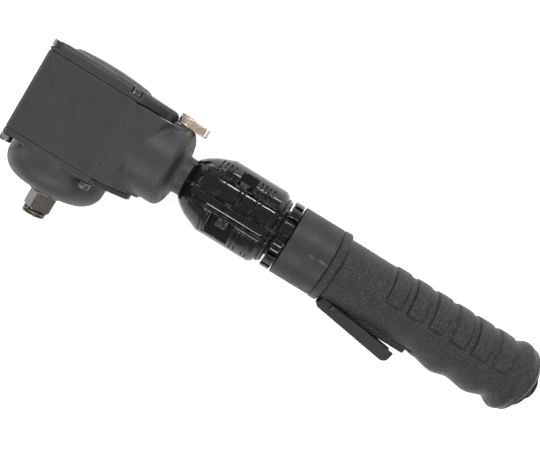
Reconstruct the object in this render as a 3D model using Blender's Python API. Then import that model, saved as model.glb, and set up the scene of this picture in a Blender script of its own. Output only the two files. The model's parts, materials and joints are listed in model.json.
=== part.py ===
"""Air-driven angle wrench: hammer head on a swivelling neck, clamp collar, throttle handle.

Shapes are drawn in millimetres about the point where the drive axis meets the handle
axis: X runs along the handle, Y runs up the drive axis, Z goes through the tool's side.
finish() turns each mesh into metres and moves the frame's origin to the drive's tip face.
"""
import math

import bmesh
import bpy
from mathutils import Matrix, Vector

MM = 0.001
GAP = 0.3
TURN = 2.0 * math.pi

# Drive end, levels measured along Y from the handle axis
TIP_LEVEL = -67.4
DRIVE_SQUARE = 12.7
SQUARE_TOP = -53.8
SQUARE_END = TIP_LEVEL + 3.6
TIP_FLOOR = TIP_LEVEL + 1.4
SQUARE_TURN = math.radians(45.0)
TIP_RADIUS = 6.9

# Head housing
HEAD_HALF = 29.0
HEAD_CORNER = 4.0
HOUSING_TOP = 22.4
HOUSING_FLOOR = -26.4
BORE_RADIUS = 24.3
SCREW_OFFSET = 25.5
SCREW_HOLE = 2.3
BOSS_RADIUS = 24.5
BOSS_END = 62.0
NECK_RADIUS = 12.0
NECK_END = 106.0
NECK_FLANGE = 15.0
SWIVEL_MIDDLE = 92.0
SHOULDER_TAPER = 0.30
SHOULDER_FALL = 1.3
SHOULDER_START = 28.0
SHOULDER_EDGE = 33.3
SHOULDER_LEAN = 0.262

# Rear cover and nose
COVER_FLOOR = 23.4
COVER_TOP = 30.0
COVER_END = 37.0
COVER_END_RADIUS = 9.5
DOME_HEIGHT = 3.6
DOME_RADIUS = 22.0
FLANGE_TOP = -27.3
FLANGE_FLOOR = -30.3
FLANGE_END = 45.0
NOSE_RADIUS = 30.1
NOSE_ROUND = 13.5
NOSE_FLOOR = -50.2

# Vane motor and hammer
ROTOR_RADIUS = 17.8
ROTOR_TOP = 13.4
ROTOR_FLOOR = -9.4
SHAFT_RADIUS = 5.0
VANE_COUNT = 6
VANE_ROOT = 11.9
CYLINDER_BORE = 19.5
CYLINDER_OFFSET = 1.3
CAGE_RADIUS = 23.3
DOG_RADIUS = 17.6
PIN_CIRCLE = 16.4

# Reverse valve and its thumb lever, just behind the cover's tongue
REVERSE_X = 52.0
REVERSE_RADIUS = 5.0
VALVE_BOSS_RADIUS = 8.0
VALVE_BOSS_TOP = 24.8
THUMB_FLOOR = 25.3
THUMB_TOP = 31.0
THUMB_END = 66.3
HUB_RADIUS = 5.2
HUB_TOP = 32.0

# Clamp collar
COLLAR_START = 70.8
COLLAR_END = 131.4
COLLAR_RADIUS = 24.1
SPLIT_HALF = 0.25
CLAMP_X = 102.0
CLAMP_Z = 16.0
CLAMP_HOLE = 2.8
SCREW_POCKET_LEVEL = -8.5
NUT_POCKET_LEVEL = 12.0

# Handle
TUBE_START = 108.0
TUBE_RADIUS = 15.0
RING_START = 132.4
RING_END = 138.6
RING_RADIUS = 22.0
RING_NOTCHES = 12
BODY_START = 139.6
BODY_END = 166.0
BODY_RADIUS = 22.1
CORE_RADIUS = 15.5
CORE_END = 288.0
CHAMBER_RADIUS = 9.6
GRIP_START = 166.3
GRIP_END = 303.2
GRIP_BORE = 15.8
INLET_END = 309.0
INLET_BORE = 5.2

# Throttle
LEVER_PIN_X = 182.5
LEVER_PIN_LEVEL = -20.7
LEVER_START = 174.0
LEVER_END = 228.5
LEVER_OPEN = math.radians(9.0)
LEVER_FACE = -26.0
LEVER_CHANNEL = -24.0
STEM_X = 200.0
STEM_RADIUS = 2.0

MATERIALS = {
    "head_paint": ((0.055, 0.055, 0.060), 0.3, 0.62),
    "gloss_black": ((0.012, 0.013, 0.014), 0.6, 0.16),
    "satin_black": ((0.060, 0.063, 0.062), 0.7, 0.42),
    "rubber": ((0.042, 0.044, 0.045), 0.0, 0.78),
    "seal": ((0.015, 0.015, 0.015), 0.0, 0.70),
    "tool_steel": ((0.26, 0.25, 0.24), 1.0, 0.34),
    "bright_steel": ((0.55, 0.55, 0.56), 1.0, 0.25),
    "dark_screw": ((0.09, 0.09, 0.10), 1.0, 0.35),
    "nickel": ((0.62, 0.56, 0.48), 1.0, 0.28),
    "bronze": ((0.50, 0.32, 0.15), 1.0, 0.42),
    "aluminium": ((0.58, 0.59, 0.60), 1.0, 0.38),
    "resin": ((0.20, 0.12, 0.06), 0.0, 0.60),
    "felt": ((0.30, 0.30, 0.28), 0.0, 0.95),
}

PIVOTS = {
    "handle": (0.0, 0.0, 0.0),
    "head": (SWIVEL_MIDDLE, 0.0, 0.0),
    "motor": (0.0, 0.0, 0.0),
    "anvil": (0.0, TIP_LEVEL, 0.0),
    "reverse": (REVERSE_X, THUMB_FLOOR, 0.0),
    "throttle": (LEVER_PIN_X, LEVER_PIN_LEVEL, 0.0),
    "stem": (STEM_X, -15.0, 0.0),
    "ring": ((RING_START + RING_END) / 2, 0.0, 0.0),
}


# ---- building blocks ---------------------------------------------------------------

def clear_scene():
    for obj in list(bpy.data.objects):
        bpy.data.objects.remove(obj)


def mesh_object(name, points, faces):
    """A new object whose faces all look outwards."""
    mesh = bpy.data.meshes.new(name)
    mesh.from_pydata([tuple(p) for p in points], [], faces)
    work = bmesh.new()
    work.from_mesh(mesh)
    bmesh.ops.recalc_face_normals(work, faces=work.faces)
    work.to_mesh(mesh)
    work.free()
    obj = bpy.data.objects.new(name, mesh)
    bpy.context.scene.collection.objects.link(obj)
    return obj


def around(axis, along, radius, angle):
    """A point at an angle about one of the three axes."""
    side = radius * math.sin(angle)
    up = radius * math.cos(angle)
    if axis == "X":
        return (along, side, up)
    if axis == "Y":
        return (side, along, up)
    return (side, up, along)


def revolve(name, profile, axis, segments=28):
    """Turn (along, radius) points about an axis. A profile off the axis closes on itself."""
    points = []
    rings = []
    for along, radius in profile:
        count = 1 if radius == 0.0 else segments
        rings.append([len(points) + i for i in range(count)])
        points += [around(axis, along, radius, TURN * i / segments) for i in range(count)]
    pairs = list(zip(rings, rings[1:]))
    if profile[0][1] > 0.0 and profile[-1][1] > 0.0:
        pairs.append((rings[-1], rings[0]))
    faces = []
    for low, high in pairs:
        for i in range(segments):
            j = (i + 1) % segments
            corners = [low[i % len(low)], low[j % len(low)], high[j % len(high)], high[i % len(high)]]
            face = list(dict.fromkeys(corners))
            if len(face) > 2:
                faces.append(face)
    return mesh_object(name, points, faces)


def tube(name, axis, start, end, inner, outer, segments=28):
    profile = [(start, inner), (start, outer), (end, outer), (end, inner)]
    return revolve(name, profile, axis, segments)


def rod(name, axis, start, end, radius, segments=28):
    profile = [(start, 0.0), (start, radius), (end, radius), (end, 0.0)]
    return revolve(name, profile, axis, segments)


def extrude(name, outline, axis, low, high):
    """Push a flat outline along an axis: (y, z) for X, (x, z) for Y, (x, y) for Z."""
    def place(u, v, along):
        return {"X": (along, u, v), "Y": (u, along, v), "Z": (u, v, along)}[axis]

    count = len(outline)
    points = [place(u, v, low) for u, v in outline] + [place(u, v, high) for u, v in outline]
    faces = [list(range(count)), list(range(count, 2 * count))]
    faces += [[i, (i + 1) % count, count + (i + 1) % count, count + i] for i in range(count)]
    return mesh_object(name, points, faces)


def block(name, low, high):
    outline = [(low[0], low[1]), (high[0], low[1]), (high[0], high[1]), (low[0], high[1])]
    return extrude(name, outline, "Z", low[2], high[2])


def hull(name, points):
    """The convex solid round a few corner points."""
    work = bmesh.new()
    for point in points:
        work.verts.new(point)
    result = bmesh.ops.convex_hull(work, input=work.verts)
    spare = [item for item in result["geom_interior"] if isinstance(item, bmesh.types.BMVert)]
    bmesh.ops.delete(work, geom=spare, context="VERTS")
    mesh = bpy.data.meshes.new(name)
    work.to_mesh(mesh)
    work.free()
    obj = bpy.data.objects.new(name, mesh)
    bpy.context.scene.collection.objects.link(obj)
    return obj


def arc(centre, radius, start_deg, end_deg, steps):
    """Points on an arc, as (u, v) pairs, both ends included."""
    angles = [math.radians(start_deg + (end_deg - start_deg) * i / steps) for i in range(steps + 1)]
    return [(centre[0] + radius * math.cos(a), centre[1] + radius * math.sin(a)) for a in angles]


def rounded_square(half, corner, steps=4):
    reach = half - corner
    outline = []
    for quarter, (u, v) in enumerate([(reach, reach), (-reach, reach), (-reach, -reach), (reach, -reach)]):
        outline += arc((u, v), corner, 90 * quarter, 90 * quarter + 90, steps)
    return outline


def combine(body, tools, operation="DIFFERENCE"):
    """Cut tools from a body, or join them to it, and keep one plain mesh."""
    for tool in tools:
        modifier = body.modifiers.new("shape", "BOOLEAN")
        modifier.operation = operation
        modifier.solver = "EXACT"
        modifier.object = tool
        tool.hide_render = True
        tool.display_type = "WIRE"
    bpy.context.view_layer.update()
    graph = bpy.context.evaluated_depsgraph_get()
    body_mesh = bpy.data.meshes.new_from_object(body.evaluated_get(graph))
    body.modifiers.clear()
    body.data = body_mesh
    work = bmesh.new()
    work.from_mesh(body_mesh)
    bmesh.ops.remove_doubles(work, verts=work.verts, dist=0.0001)
    work.to_mesh(body_mesh)
    work.free()
    for tool in tools:
        bpy.data.objects.remove(tool)
    return body


def move(obj, offset):
    obj.data.transform(Matrix.Translation(Vector(offset)))
    return obj


def spin(obj, angle, axis, about=(0.0, 0.0, 0.0)):
    centre = Vector(about)
    turn = Matrix.Rotation(angle, 4, axis)
    obj.data.transform(Matrix.Translation(centre) @ turn @ Matrix.Translation(-centre))
    return obj


def soften(obj, width, steps=1, limit_deg=40.0):
    """Break the sharp outer edges with a small chamfer or round."""
    work = bmesh.new()
    work.from_mesh(obj.data)
    limit = math.radians(limit_deg)
    edges = [e for e in work.edges if len(e.link_faces) == 2 and e.calc_face_angle_signed() > limit]
    bmesh.ops.bevel(work, geom=edges, offset=width, segments=steps, affect="EDGES", clamp_overlap=True)
    work.to_mesh(obj.data)
    work.free()
    return obj


def make_material(name):
    colour, metallic, roughness = MATERIALS[name]
    material = bpy.data.materials.get(name)
    if material is None:
        material = bpy.data.materials.new(name)
        material.use_nodes = True
        shader = material.node_tree.nodes["Principled BSDF"]
        shader.inputs["Base Color"].default_value = (*colour, 1.0)
        shader.inputs["Metallic"].default_value = metallic
        shader.inputs["Roughness"].default_value = roughness
        material.diffuse_color = (*colour, 1.0)
    return material


def finish(obj, body, material, smooth_deg=35.0):
    """Metres, the origin on the body's joint axis, one material, smooth round faces."""
    pivot = Vector(PIVOTS[body])
    shift = Vector((0.0, -TIP_LEVEL, 0.0))
    obj.data.transform(Matrix.Scale(MM, 4) @ Matrix.Translation(-pivot))
    obj.location = (pivot + shift) * MM
    own = make_material(material)
    obj.data.materials.clear()
    obj.data.materials.append(own)
    obj.data.shade_smooth()
    obj.data.set_sharp_from_angle(angle=math.radians(smooth_deg))
    return obj


# ---- head --------------------------------------------------------------------------

def corner_places():
    return [(x * SCREW_OFFSET, z * SCREW_OFFSET) for x in (-1, 1) for z in (-1, 1)]


def corner_holes(low, high, radius=SCREW_HOLE):
    return [move(rod("hole", "Y", low, high, radius, 12), (x, 0.0, z)) for x, z in corner_places()]


def reverse_axis_tool(name, start, end, radius, segments=24):
    """A rod on the axis of the reverse valve, between two levels."""
    return move(rod(name, "Y", start, end, radius, segments), (REVERSE_X, 0.0, 0.0))


def shoulder_edge(level):
    """Where the slow taper turns into the steep fall; it leans towards the handle at the top."""
    return SHOULDER_EDGE + SHOULDER_LEAN * (level - HOUSING_FLOOR)


def shoulder_half_width(x, level):
    """Half the head's thickness behind the motor: a slow taper, then a steep fall."""
    slow = HEAD_HALF - 1.0 - SHOULDER_TAPER * (x - SHOULDER_START)
    return slow - SHOULDER_FALL * max(0.0, x - shoulder_edge(level))


def shoulder_end(level):
    """Where the steep fall meets the middle plane."""
    slow = HEAD_HALF - 1.0 + SHOULDER_TAPER * SHOULDER_START
    return (slow + SHOULDER_FALL * shoulder_edge(level)) / (SHOULDER_TAPER + SHOULDER_FALL)


def head_shoulder():
    """The wedge between the square motor case and the round boss."""
    points = []
    for level in (HOUSING_FLOOR + 0.05, HOUSING_TOP - 0.05):
        edge = shoulder_edge(level)
        for side in (-1.0, 1.0):
            points.append((20.0, level, side * (HEAD_HALF - 1.0)))
            points.append((SHOULDER_START, level, side * (HEAD_HALF - 1.0)))
            points.append((edge, level, side * shoulder_half_width(edge, level)))
        points.append((shoulder_end(level), level, 0.0))
    return hull("shoulder", points)


def head_neck():
    """Round boss, concave fillet, neck, and the flange that the clamp collar holds."""
    shoulder = arc((BOSS_END - 4.0, BOSS_RADIUS - 4.0), 4.0, 90, 0, 4)
    fillet = arc((BOSS_END + 4.6, NECK_RADIUS + 4.6), 4.6, 180, 270, 4)
    flange_half = 2.0
    profile = [(30.0, 0.0), (30.0, BOSS_RADIUS)] + shoulder + fillet
    profile += [(SWIVEL_MIDDLE - flange_half, NECK_RADIUS), (SWIVEL_MIDDLE - flange_half, NECK_FLANGE)]
    profile += [(SWIVEL_MIDDLE + flange_half, NECK_FLANGE), (SWIVEL_MIDDLE + flange_half, NECK_RADIUS)]
    profile += [(NECK_END, NECK_RADIUS), (NECK_END, 0.0)]
    return revolve("neck", profile, "X", 36)


def head_housing():
    body = extrude("head_housing", rounded_square(HEAD_HALF, HEAD_CORNER), "Y", HOUSING_FLOOR, HOUSING_TOP)
    valve_boss = revolve("valve_boss", [(12.0, 0.0), (12.0, VALVE_BOSS_RADIUS),
                                        (VALVE_BOSS_TOP - 1.2, VALVE_BOSS_RADIUS),
                                        (VALVE_BOSS_TOP, VALVE_BOSS_RADIUS - 1.2), (VALVE_BOSS_TOP, 0.0)], "Y", 28)
    combine(body, [head_shoulder(), head_neck(), move(valve_boss, (REVERSE_X, 0.0, 0.0))], "UNION")
    cover_seat = block("cover_seat", (20.0, HOUSING_TOP, -40.0), (COVER_END + COVER_END_RADIUS + 0.5, 40.0, 40.0))
    motor_bore = rod("bore", "Y", HOUSING_FLOOR - 5.0, HOUSING_TOP + 5.0, BORE_RADIUS, 40)
    valve_bore = reverse_axis_tool("valve_bore", -8.3, 40.0, REVERSE_RADIUS + GAP)
    air_way = rod("air", "X", 20.0, 90.0, 4.5, 24)
    spigot_bore = rod("spigot_bore", "X", 84.0, NECK_END + 5.0, 7.3, 28)
    holes = corner_holes(HOUSING_TOP - 12.0, HOUSING_TOP + 5.0)
    holes += corner_holes(HOUSING_FLOOR - 5.0, HOUSING_FLOOR + 11.0)
    combine(body, [cover_seat, motor_bore, valve_bore, air_way, spigot_bore] + holes)
    return finish(body, "head", "head_paint")


def cover_outline(grow=0.0):
    """The square case with a rounded tongue over the reverse valve."""
    half = HEAD_HALF + grow
    left = rounded_square(half, HEAD_CORNER)
    count = len(left) // 4
    outline = arc((COVER_END, 0.0), COVER_END_RADIUS + grow, -60, 60, 8)
    outline.append((COVER_END - 5.0, half - 3.5))
    outline += left[:count] + left[count:3 * count] + left[3 * count:]
    outline.append((COVER_END - 5.0, 3.5 - half))
    return outline


def rear_cover():
    body = extrude("rear_cover", cover_outline(), "Y", COVER_FLOOR, COVER_TOP)
    soften(body, 1.2, 2, 60.0)
    dome = revolve("dome", [(COVER_TOP - 2.0, 0.0), (COVER_TOP - 2.0, DOME_RADIUS + 1.5),
                            (COVER_TOP + DOME_HEIGHT * 0.45, DOME_RADIUS - 2.0),
                            (COVER_TOP + DOME_HEIGHT * 0.85, DOME_RADIUS * 0.62),
                            (COVER_TOP + DOME_HEIGHT, DOME_RADIUS * 0.25),
                            (COVER_TOP + DOME_HEIGHT, 0.0)], "Y", 40)
    combine(body, [dome], "UNION")
    recess = rod("recess", "Y", COVER_FLOOR - 5.0, COVER_FLOOR + 1.6, 20.0, 40)
    holes = corner_holes(COVER_FLOOR - 5.0, COVER_TOP + 5.0)
    pockets = corner_holes(COVER_TOP - 4.8, COVER_TOP + 5.0, 4.4)
    combine(body, [recess] + holes + pockets)
    return finish(body, "head", "head_paint")


def cover_gasket():
    body = extrude("cover_gasket", cover_outline(-0.4), "Y", HOUSING_TOP + 0.2, COVER_FLOOR - 0.2)
    window = rod("window", "Y", HOUSING_TOP - 5.0, COVER_FLOOR + 5.0, BORE_RADIUS - 1.0, 40)
    combine(body, [window] + corner_holes(HOUSING_TOP - 5.0, COVER_FLOOR + 5.0))
    return finish(body, "head", "seal")


def cap_screw(name, place, seat, tip, up):
    """A socket cap screw: head, hexagon recess and shank, the head facing up or down."""
    head = 3.8
    shank = 2.0
    profile = [(tip, 0.0), (tip, shank), (seat, shank), (seat, 3.5), (seat + up * (head - 0.5), 3.5),
               (seat + up * head, 3.0), (seat + up * head, 1.6), (seat + up * (head - 2.0), 1.6),
               (seat + up * (head - 2.0), 0.0)]
    body = revolve(name, profile, "Y", 14)
    return move(body, (place[0], 0.0, place[1]))


def head_screws():
    made = []
    for number, place in enumerate(corner_places(), 1):
        cover = cap_screw(f"cover_screw_{number}", place, COVER_TOP - 4.6, HOUSING_TOP - 11.0, 1)
        nose = cap_screw(f"nose_screw_{number}", place, FLANGE_FLOOR - 0.2, HOUSING_FLOOR + 10.0, -1)
        made += [finish(cover, "head", "dark_screw"), finish(nose, "head", "dark_screw")]
    return made


def nose_outline():
    """The flange under the case, with a blunt tongue towards the boss."""
    left = rounded_square(HEAD_HALF, HEAD_CORNER)
    count = len(left) // 4
    outline = [(FLANGE_END, -3.0), (FLANGE_END, 3.0), (FLANGE_END - 2.0, 6.5)]
    outline += left[:count] + left[count:3 * count] + left[3 * count:]
    outline.append((FLANGE_END - 2.0, -6.5))
    return outline


def hammer_case():
    body = extrude("hammer_case", nose_outline(), "Y", FLANGE_FLOOR, FLANGE_TOP)
    corner = arc((NOSE_FLOOR + NOSE_ROUND, NOSE_RADIUS - NOSE_ROUND), NOSE_ROUND, 90, 180, 7)
    profile = [(FLANGE_FLOOR + 1.0, 0.0), (FLANGE_FLOOR + 1.0, NOSE_RADIUS)] + corner
    profile.append((NOSE_FLOOR, 0.0))
    combine(body, [revolve("nose", profile, "Y", 40)], "UNION")
    cavity = rod("cavity", "Y", -44.8, FLANGE_TOP + 5.0, BORE_RADIUS, 40)
    opening = rod("opening", "Y", NOSE_FLOOR - 5.0, -40.0, 12.0, 32)
    combine(body, [cavity, opening] + corner_holes(FLANGE_FLOOR - 5.0, FLANGE_TOP + 5.0))
    return finish(body, "head", "head_paint")


def nose_gasket():
    body = extrude("nose_gasket", nose_outline(), "Y", FLANGE_TOP + 0.2, HOUSING_FLOOR - 0.2)
    window = rod("window", "Y", FLANGE_TOP - 5.0, HOUSING_FLOOR + 5.0, BORE_RADIUS, 40)
    combine(body, [window] + corner_holes(FLANGE_TOP - 5.0, HOUSING_FLOOR + 5.0))
    return finish(body, "head", "seal")


# ---- vane motor and hammer ---------------------------------------------------------

def motor_plates():
    rear = revolve("motor_rear_plate", [(14.0, 6.0), (14.0, 24.0), (21.5, 24.0), (21.5, 9.9),
                                        (15.2, 9.9), (15.2, 6.0)], "Y", 32)
    front = revolve("motor_front_plate", [(-10.0, 6.0), (-10.0, 24.0), (-16.5, 24.0), (-16.5, 9.9),
                                          (-11.2, 9.9), (-11.2, 6.0)], "Y", 32)
    rear_bearing = tube("rear_bearing", "Y", 15.5, 20.5, SHAFT_RADIUS + GAP, 9.6, 28)
    front_bearing = tube("front_bearing", "Y", -16.2, -11.5, SHAFT_RADIUS + GAP, 9.6, 28)
    finish(rear, "head", "aluminium")
    finish(front, "head", "aluminium")
    finish(rear_bearing, "head", "bright_steel")
    finish(front_bearing, "head", "bright_steel")


def motor_cylinder():
    body = rod("motor_cylinder", "Y", -9.7, 13.7, 24.0, 36)
    bore = move(rod("bore", "Y", -20.0, 20.0, CYLINDER_BORE, 36), (CYLINDER_OFFSET, 0.0, 0.0))
    return finish(combine(body, [bore]), "head", "tool_steel")


def rotor():
    body = rod("rotor", "Y", ROTOR_FLOOR, ROTOR_TOP, ROTOR_RADIUS, 36)
    combine(body, [rod("shaft", "Y", -23.5, 20.8, SHAFT_RADIUS, 24)], "UNION")
    slots = []
    for number in range(VANE_COUNT):
        slot = block("slot", (-1.05, ROTOR_FLOOR - 2.0, VANE_ROOT - GAP), (1.05, ROTOR_TOP + 2.0, 25.0))
        slots.append(spin(slot, TURN * number / VANE_COUNT, "Y"))
    return finish(combine(body, slots), "motor", "tool_steel")


def vanes():
    for number in range(VANE_COUNT):
        low = (-0.75, ROTOR_FLOOR + 0.2, VANE_ROOT)
        vane = block(f"vane_{number + 1}", low, (0.75, ROTOR_TOP - 0.2, ROTOR_RADIUS + 0.1))
        finish(spin(vane, TURN * number / VANE_COUNT, "Y"), "motor", "resin")


def hammer_cage():
    body = revolve("hammer_cage", [(-20.0, 5.3), (-20.0, CAGE_RADIUS), (-44.0, CAGE_RADIUS), (-44.0, 11.2),
                                   (-40.5, 11.2), (-40.5, 18.9), (-24.5, 18.9), (-24.5, 5.3)], "Y", 32)
    windows = block("windows", (-40.0, -39.5, -13.0), (40.0, -25.5, 13.0))
    return finish(combine(body, [windows]), "motor", "tool_steel")


def hammer_dogs():
    """Two stacked rings, each held by a pin on one side and struck against the anvil's jaw."""
    for number, (low, side) in enumerate([(-31.9, 1), (-39.9, -1)], 1):
        body = tube(f"hammer_dog_{number}", "Y", low, low + 7.0, 10.9, DOG_RADIUS, 36)
        notches = [move(spin(rod("notch", "Y", low - 2.0, low + 9.0, 2.35, 14), 0.1, "Y"),
                        (0.0, 0.0, z * PIN_CIRCLE)) for z in (-1, 1)]
        lug = block("lug", (-2.0, low + 0.3, side * 9.8 - 1.2), (2.0, low + 6.7, side * 9.8 + 1.4))
        combine(body, [lug], "UNION")
        finish(combine(body, notches), "motor", "tool_steel")
    for number, side in enumerate((-1, 1), 1):
        pin = rod(f"hammer_pin_{number}", "Y", -40.2, -24.8, 2.0, 14)
        finish(move(pin, (0.0, 0.0, side * PIN_CIRCLE)), "motor", "bright_steel")


def anvil():
    """Jaws, shank, chamfered square drive with its ring groove, and the tip."""
    shank = [(-24.9, 0.0), (-24.9, 8.2), (-39.9, 8.2), (-40.2, 9.4), (-52.4, 9.4), (SQUARE_TOP, 8.0),
             (SQUARE_TOP - 0.6, 6.0), (SQUARE_END + 0.3, 6.0), (SQUARE_END + 0.3, 0.0)]
    body = revolve("anvil", shank, "Y", 24)
    half = DRIVE_SQUARE / 2
    square = block("square", (-half, SQUARE_END, -half), (half, SQUARE_TOP, half))
    soften(square, 0.8, 2, 60.0)
    spin(square, SQUARE_TURN, "Y")
    tip = revolve("tip", [(SQUARE_END + 0.7, 0.0), (SQUARE_END + 0.7, 5.6), (TIP_FLOOR, 5.6), (TIP_FLOOR, TIP_RADIUS),
                          (TIP_LEVEL + 0.6, TIP_RADIUS), (TIP_LEVEL, TIP_RADIUS - 0.6), (TIP_LEVEL, 0.0)],
                  "Y", 24)
    jaws = [block("jaw", (6.0, -31.7, -2.2), (10.4, -25.2, 2.2)),
            block("jaw", (-10.4, -39.7, -2.2), (-6.0, -33.1, 2.2))]
    return finish(combine(body, [square, tip] + jaws, "UNION"), "anvil", "tool_steel")


def anvil_rings():
    ring = tube("friction_ring", "Y", TIP_FLOOR + 0.2, SQUARE_END - 0.4, 6.35, 7.1, 24)
    split = block("split", (-0.7, -70.0, 0.0), (0.7, -50.0, 20.0))
    spin(split, math.radians(200.0), "Y")
    finish(combine(ring, [split]), "anvil", "bright_steel")
    finish(tube("anvil_o_ring", "Y", TIP_FLOOR + 0.4, SQUARE_END - 0.6, 5.7, 6.2, 24), "anvil", "seal")
    finish(tube("anvil_bushing", "Y", -49.9, -44.5, 9.8, 11.7, 24), "head", "bronze")


# ---- reverse valve -----------------------------------------------------------------

def reverse_valve():
    """A rotary spool across the air way, with a port through it and a stub for the lever."""
    body = reverse_axis_tool("reverse_valve", -8.0, THUMB_FLOOR - 0.3, REVERSE_RADIUS)
    combine(body, [reverse_axis_tool("stub", THUMB_FLOOR - 2.0, HUB_TOP - 0.4, 2.6, 16)], "UNION")
    port = rod("port", "X", REVERSE_X - 20.0, REVERSE_X + 20.0, 3.2, 16)
    return finish(combine(body, [port]), "reverse", "bronze")


def reverse_lever():
    """Round hub with a straight thumb bar that points along the handle."""
    end_radius = 3.6
    bar_start = REVERSE_X + HUB_RADIUS - 1.6
    outline = [(bar_start, -4.2)] + arc((THUMB_END - end_radius, 0.0), 4.2, -60, 60, 6) + [(bar_start, 4.2)]
    body = extrude("reverse_lever", outline, "Y", THUMB_FLOOR + 0.05, THUMB_TOP)
    soften(body, 0.5, 1, 60.0)
    hub = rod("hub", "Y", THUMB_FLOOR, HUB_TOP, HUB_RADIUS, 24)
    soften(hub, 0.6, 1, 60.0)
    combine(body, [move(hub, (REVERSE_X, 0.0, 0.0))], "UNION")
    combine(body, [reverse_axis_tool("hole", THUMB_FLOOR - 5.0, HUB_TOP + 5.0, 2.9, 16)])
    return finish(body, "reverse", "nickel")


# ---- swivel and clamp collar -------------------------------------------------------

def swivel_spigot():
    groove = 5.9
    profile = [(84.5, 4.5), (84.5, 7.0)]
    for middle in (114.0, 122.0):
        profile += [(middle - 1.2, 7.0), (middle - 1.2, groove), (middle + 1.2, groove), (middle + 1.2, 7.0)]
    profile += [(130.0, 7.0), (130.0, 4.5)]
    finish(revolve("swivel_spigot", profile, "X", 28), "head", "bright_steel")
    for number, middle in enumerate((114.0, 122.0), 1):
        section = [(middle + 0.9 * math.cos(a), 6.6 + 0.58 * math.sin(a))
                   for a in [TURN * i / 6 for i in range(6)]]
        finish(revolve(f"o_ring_{number}", section, "X", 24), "head", "seal")


def collar_profile():
    """Outer barrel with conical ends and cross grooves; inside, the neck's and tube's seats."""
    neck_seat = NECK_RADIUS + GAP
    outer = [(COLLAR_START, neck_seat), (COLLAR_START, 14.2), (74.0, 16.6), (79.0, 19.8), (89.4, COLLAR_RADIUS)]
    for middle in (110.5, 120.0):
        outer += [(middle - 0.7, COLLAR_RADIUS), (middle - 0.7, COLLAR_RADIUS - 1.0),
                  (middle + 0.7, COLLAR_RADIUS - 1.0), (middle + 0.7, COLLAR_RADIUS)]
    outer += [(124.8, COLLAR_RADIUS), (COLLAR_END, 20.0)]
    inner = [(COLLAR_END, 15.3), (120.4, 15.3), (120.4, 17.3), (115.6, 17.3), (115.6, 15.3),
             (107.6, 15.3), (107.6, neck_seat), (94.4, neck_seat), (94.4, 15.3), (89.6, 15.3), (89.6, neck_seat)]
    return outer + inner


def collar_half(name, side):
    """One half of the clamp: side +1 is the half away from the drive, and holds the nuts."""
    body = revolve(name, collar_profile(), "X", 36)
    low, high = sorted((side * SPLIT_HALF, -side * 60.0))
    floor = NUT_POCKET_LEVEL if side > 0 else SCREW_POCKET_LEVEL
    pocket_half = 5.0 if side > 0 else 7.5
    pocket_x = CLAMP_X + (1.0 if side > 0 else 0.0)
    cutters = [block("other_half", (50.0, low, -60.0), (150.0, high, 60.0))]
    for z in (-CLAMP_Z, CLAMP_Z):
        cutters.append(move(rod("bolt_hole", "Y", -40.0, 40.0, CLAMP_HOLE, 14), (CLAMP_X, 0.0, z)))
        z_low, z_high = sorted((math.copysign(11.6, z), math.copysign(40.0, z)))
        y_low, y_high = sorted((floor, side * 40.0))
        pocket = block("pocket", (pocket_x - pocket_half, y_low, z_low), (pocket_x + pocket_half, y_high, z_high))
        cutters.append(pocket)
        for level in (5.2, 17.0):
            z_inner, z_outer = sorted((math.copysign(math.sqrt(COLLAR_RADIUS ** 2 - level ** 2) - 1.0, z),
                                       math.copysign(40.0, z)))
            y_one, y_two = sorted((side * (level - 0.6), side * (level + 0.6)))
            cutters.append(block("groove", (80.0, y_one, z_inner), (123.5, y_two, z_outer)))
    return finish(combine(body, cutters), "handle", "gloss_black")


def clamp_fasteners():
    """Two socket cap screws pull the halves together against round nuts."""
    for number, z in enumerate((-CLAMP_Z, CLAMP_Z), 1):
        place = (CLAMP_X, z)
        bolt = revolve(f"clamp_bolt_{number}", [
            (15.0, 0.0), (15.0, 2.4), (-8.8, 2.4), (-8.8, 4.0), (-13.2, 4.0), (-13.8, 3.5),
            (-13.8, 2.0), (-11.4, 2.0), (-11.4, 0.0)], "Y", 20)
        nut = tube(f"clamp_nut_{number}", "Y", NUT_POCKET_LEVEL + GAP, NUT_POCKET_LEVEL + 3.2, 2.7, 3.6, 20)
        finish(move(bolt, (place[0], 0.0, place[1])), "handle", "dark_screw")
        finish(move(nut, (place[0], 0.0, place[1])), "handle", "dark_screw")


def lock_ring():
    """A slotted ring nut for a hook spanner, between the collar and the handle."""
    outline = []
    step = 360.0 / RING_NOTCHES
    for number in range(RING_NOTCHES):
        outline += arc((0.0, 0.0), RING_RADIUS, number * step + 5.0, (number + 1) * step - 5.0, 3)
        outline += arc((0.0, 0.0), RING_RADIUS - 2.2, (number + 1) * step - 4.6, (number + 1) * step + 4.6, 1)
    body = extrude("lock_ring", outline, "X", RING_START, RING_END)
    bore = rod("bore", "X", RING_START - 5.0, RING_END + 5.0, TUBE_RADIUS + GAP, 40)
    return finish(combine(body, [bore]), "ring", "gloss_black")


# ---- handle ------------------------------------------------------------------------

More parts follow.
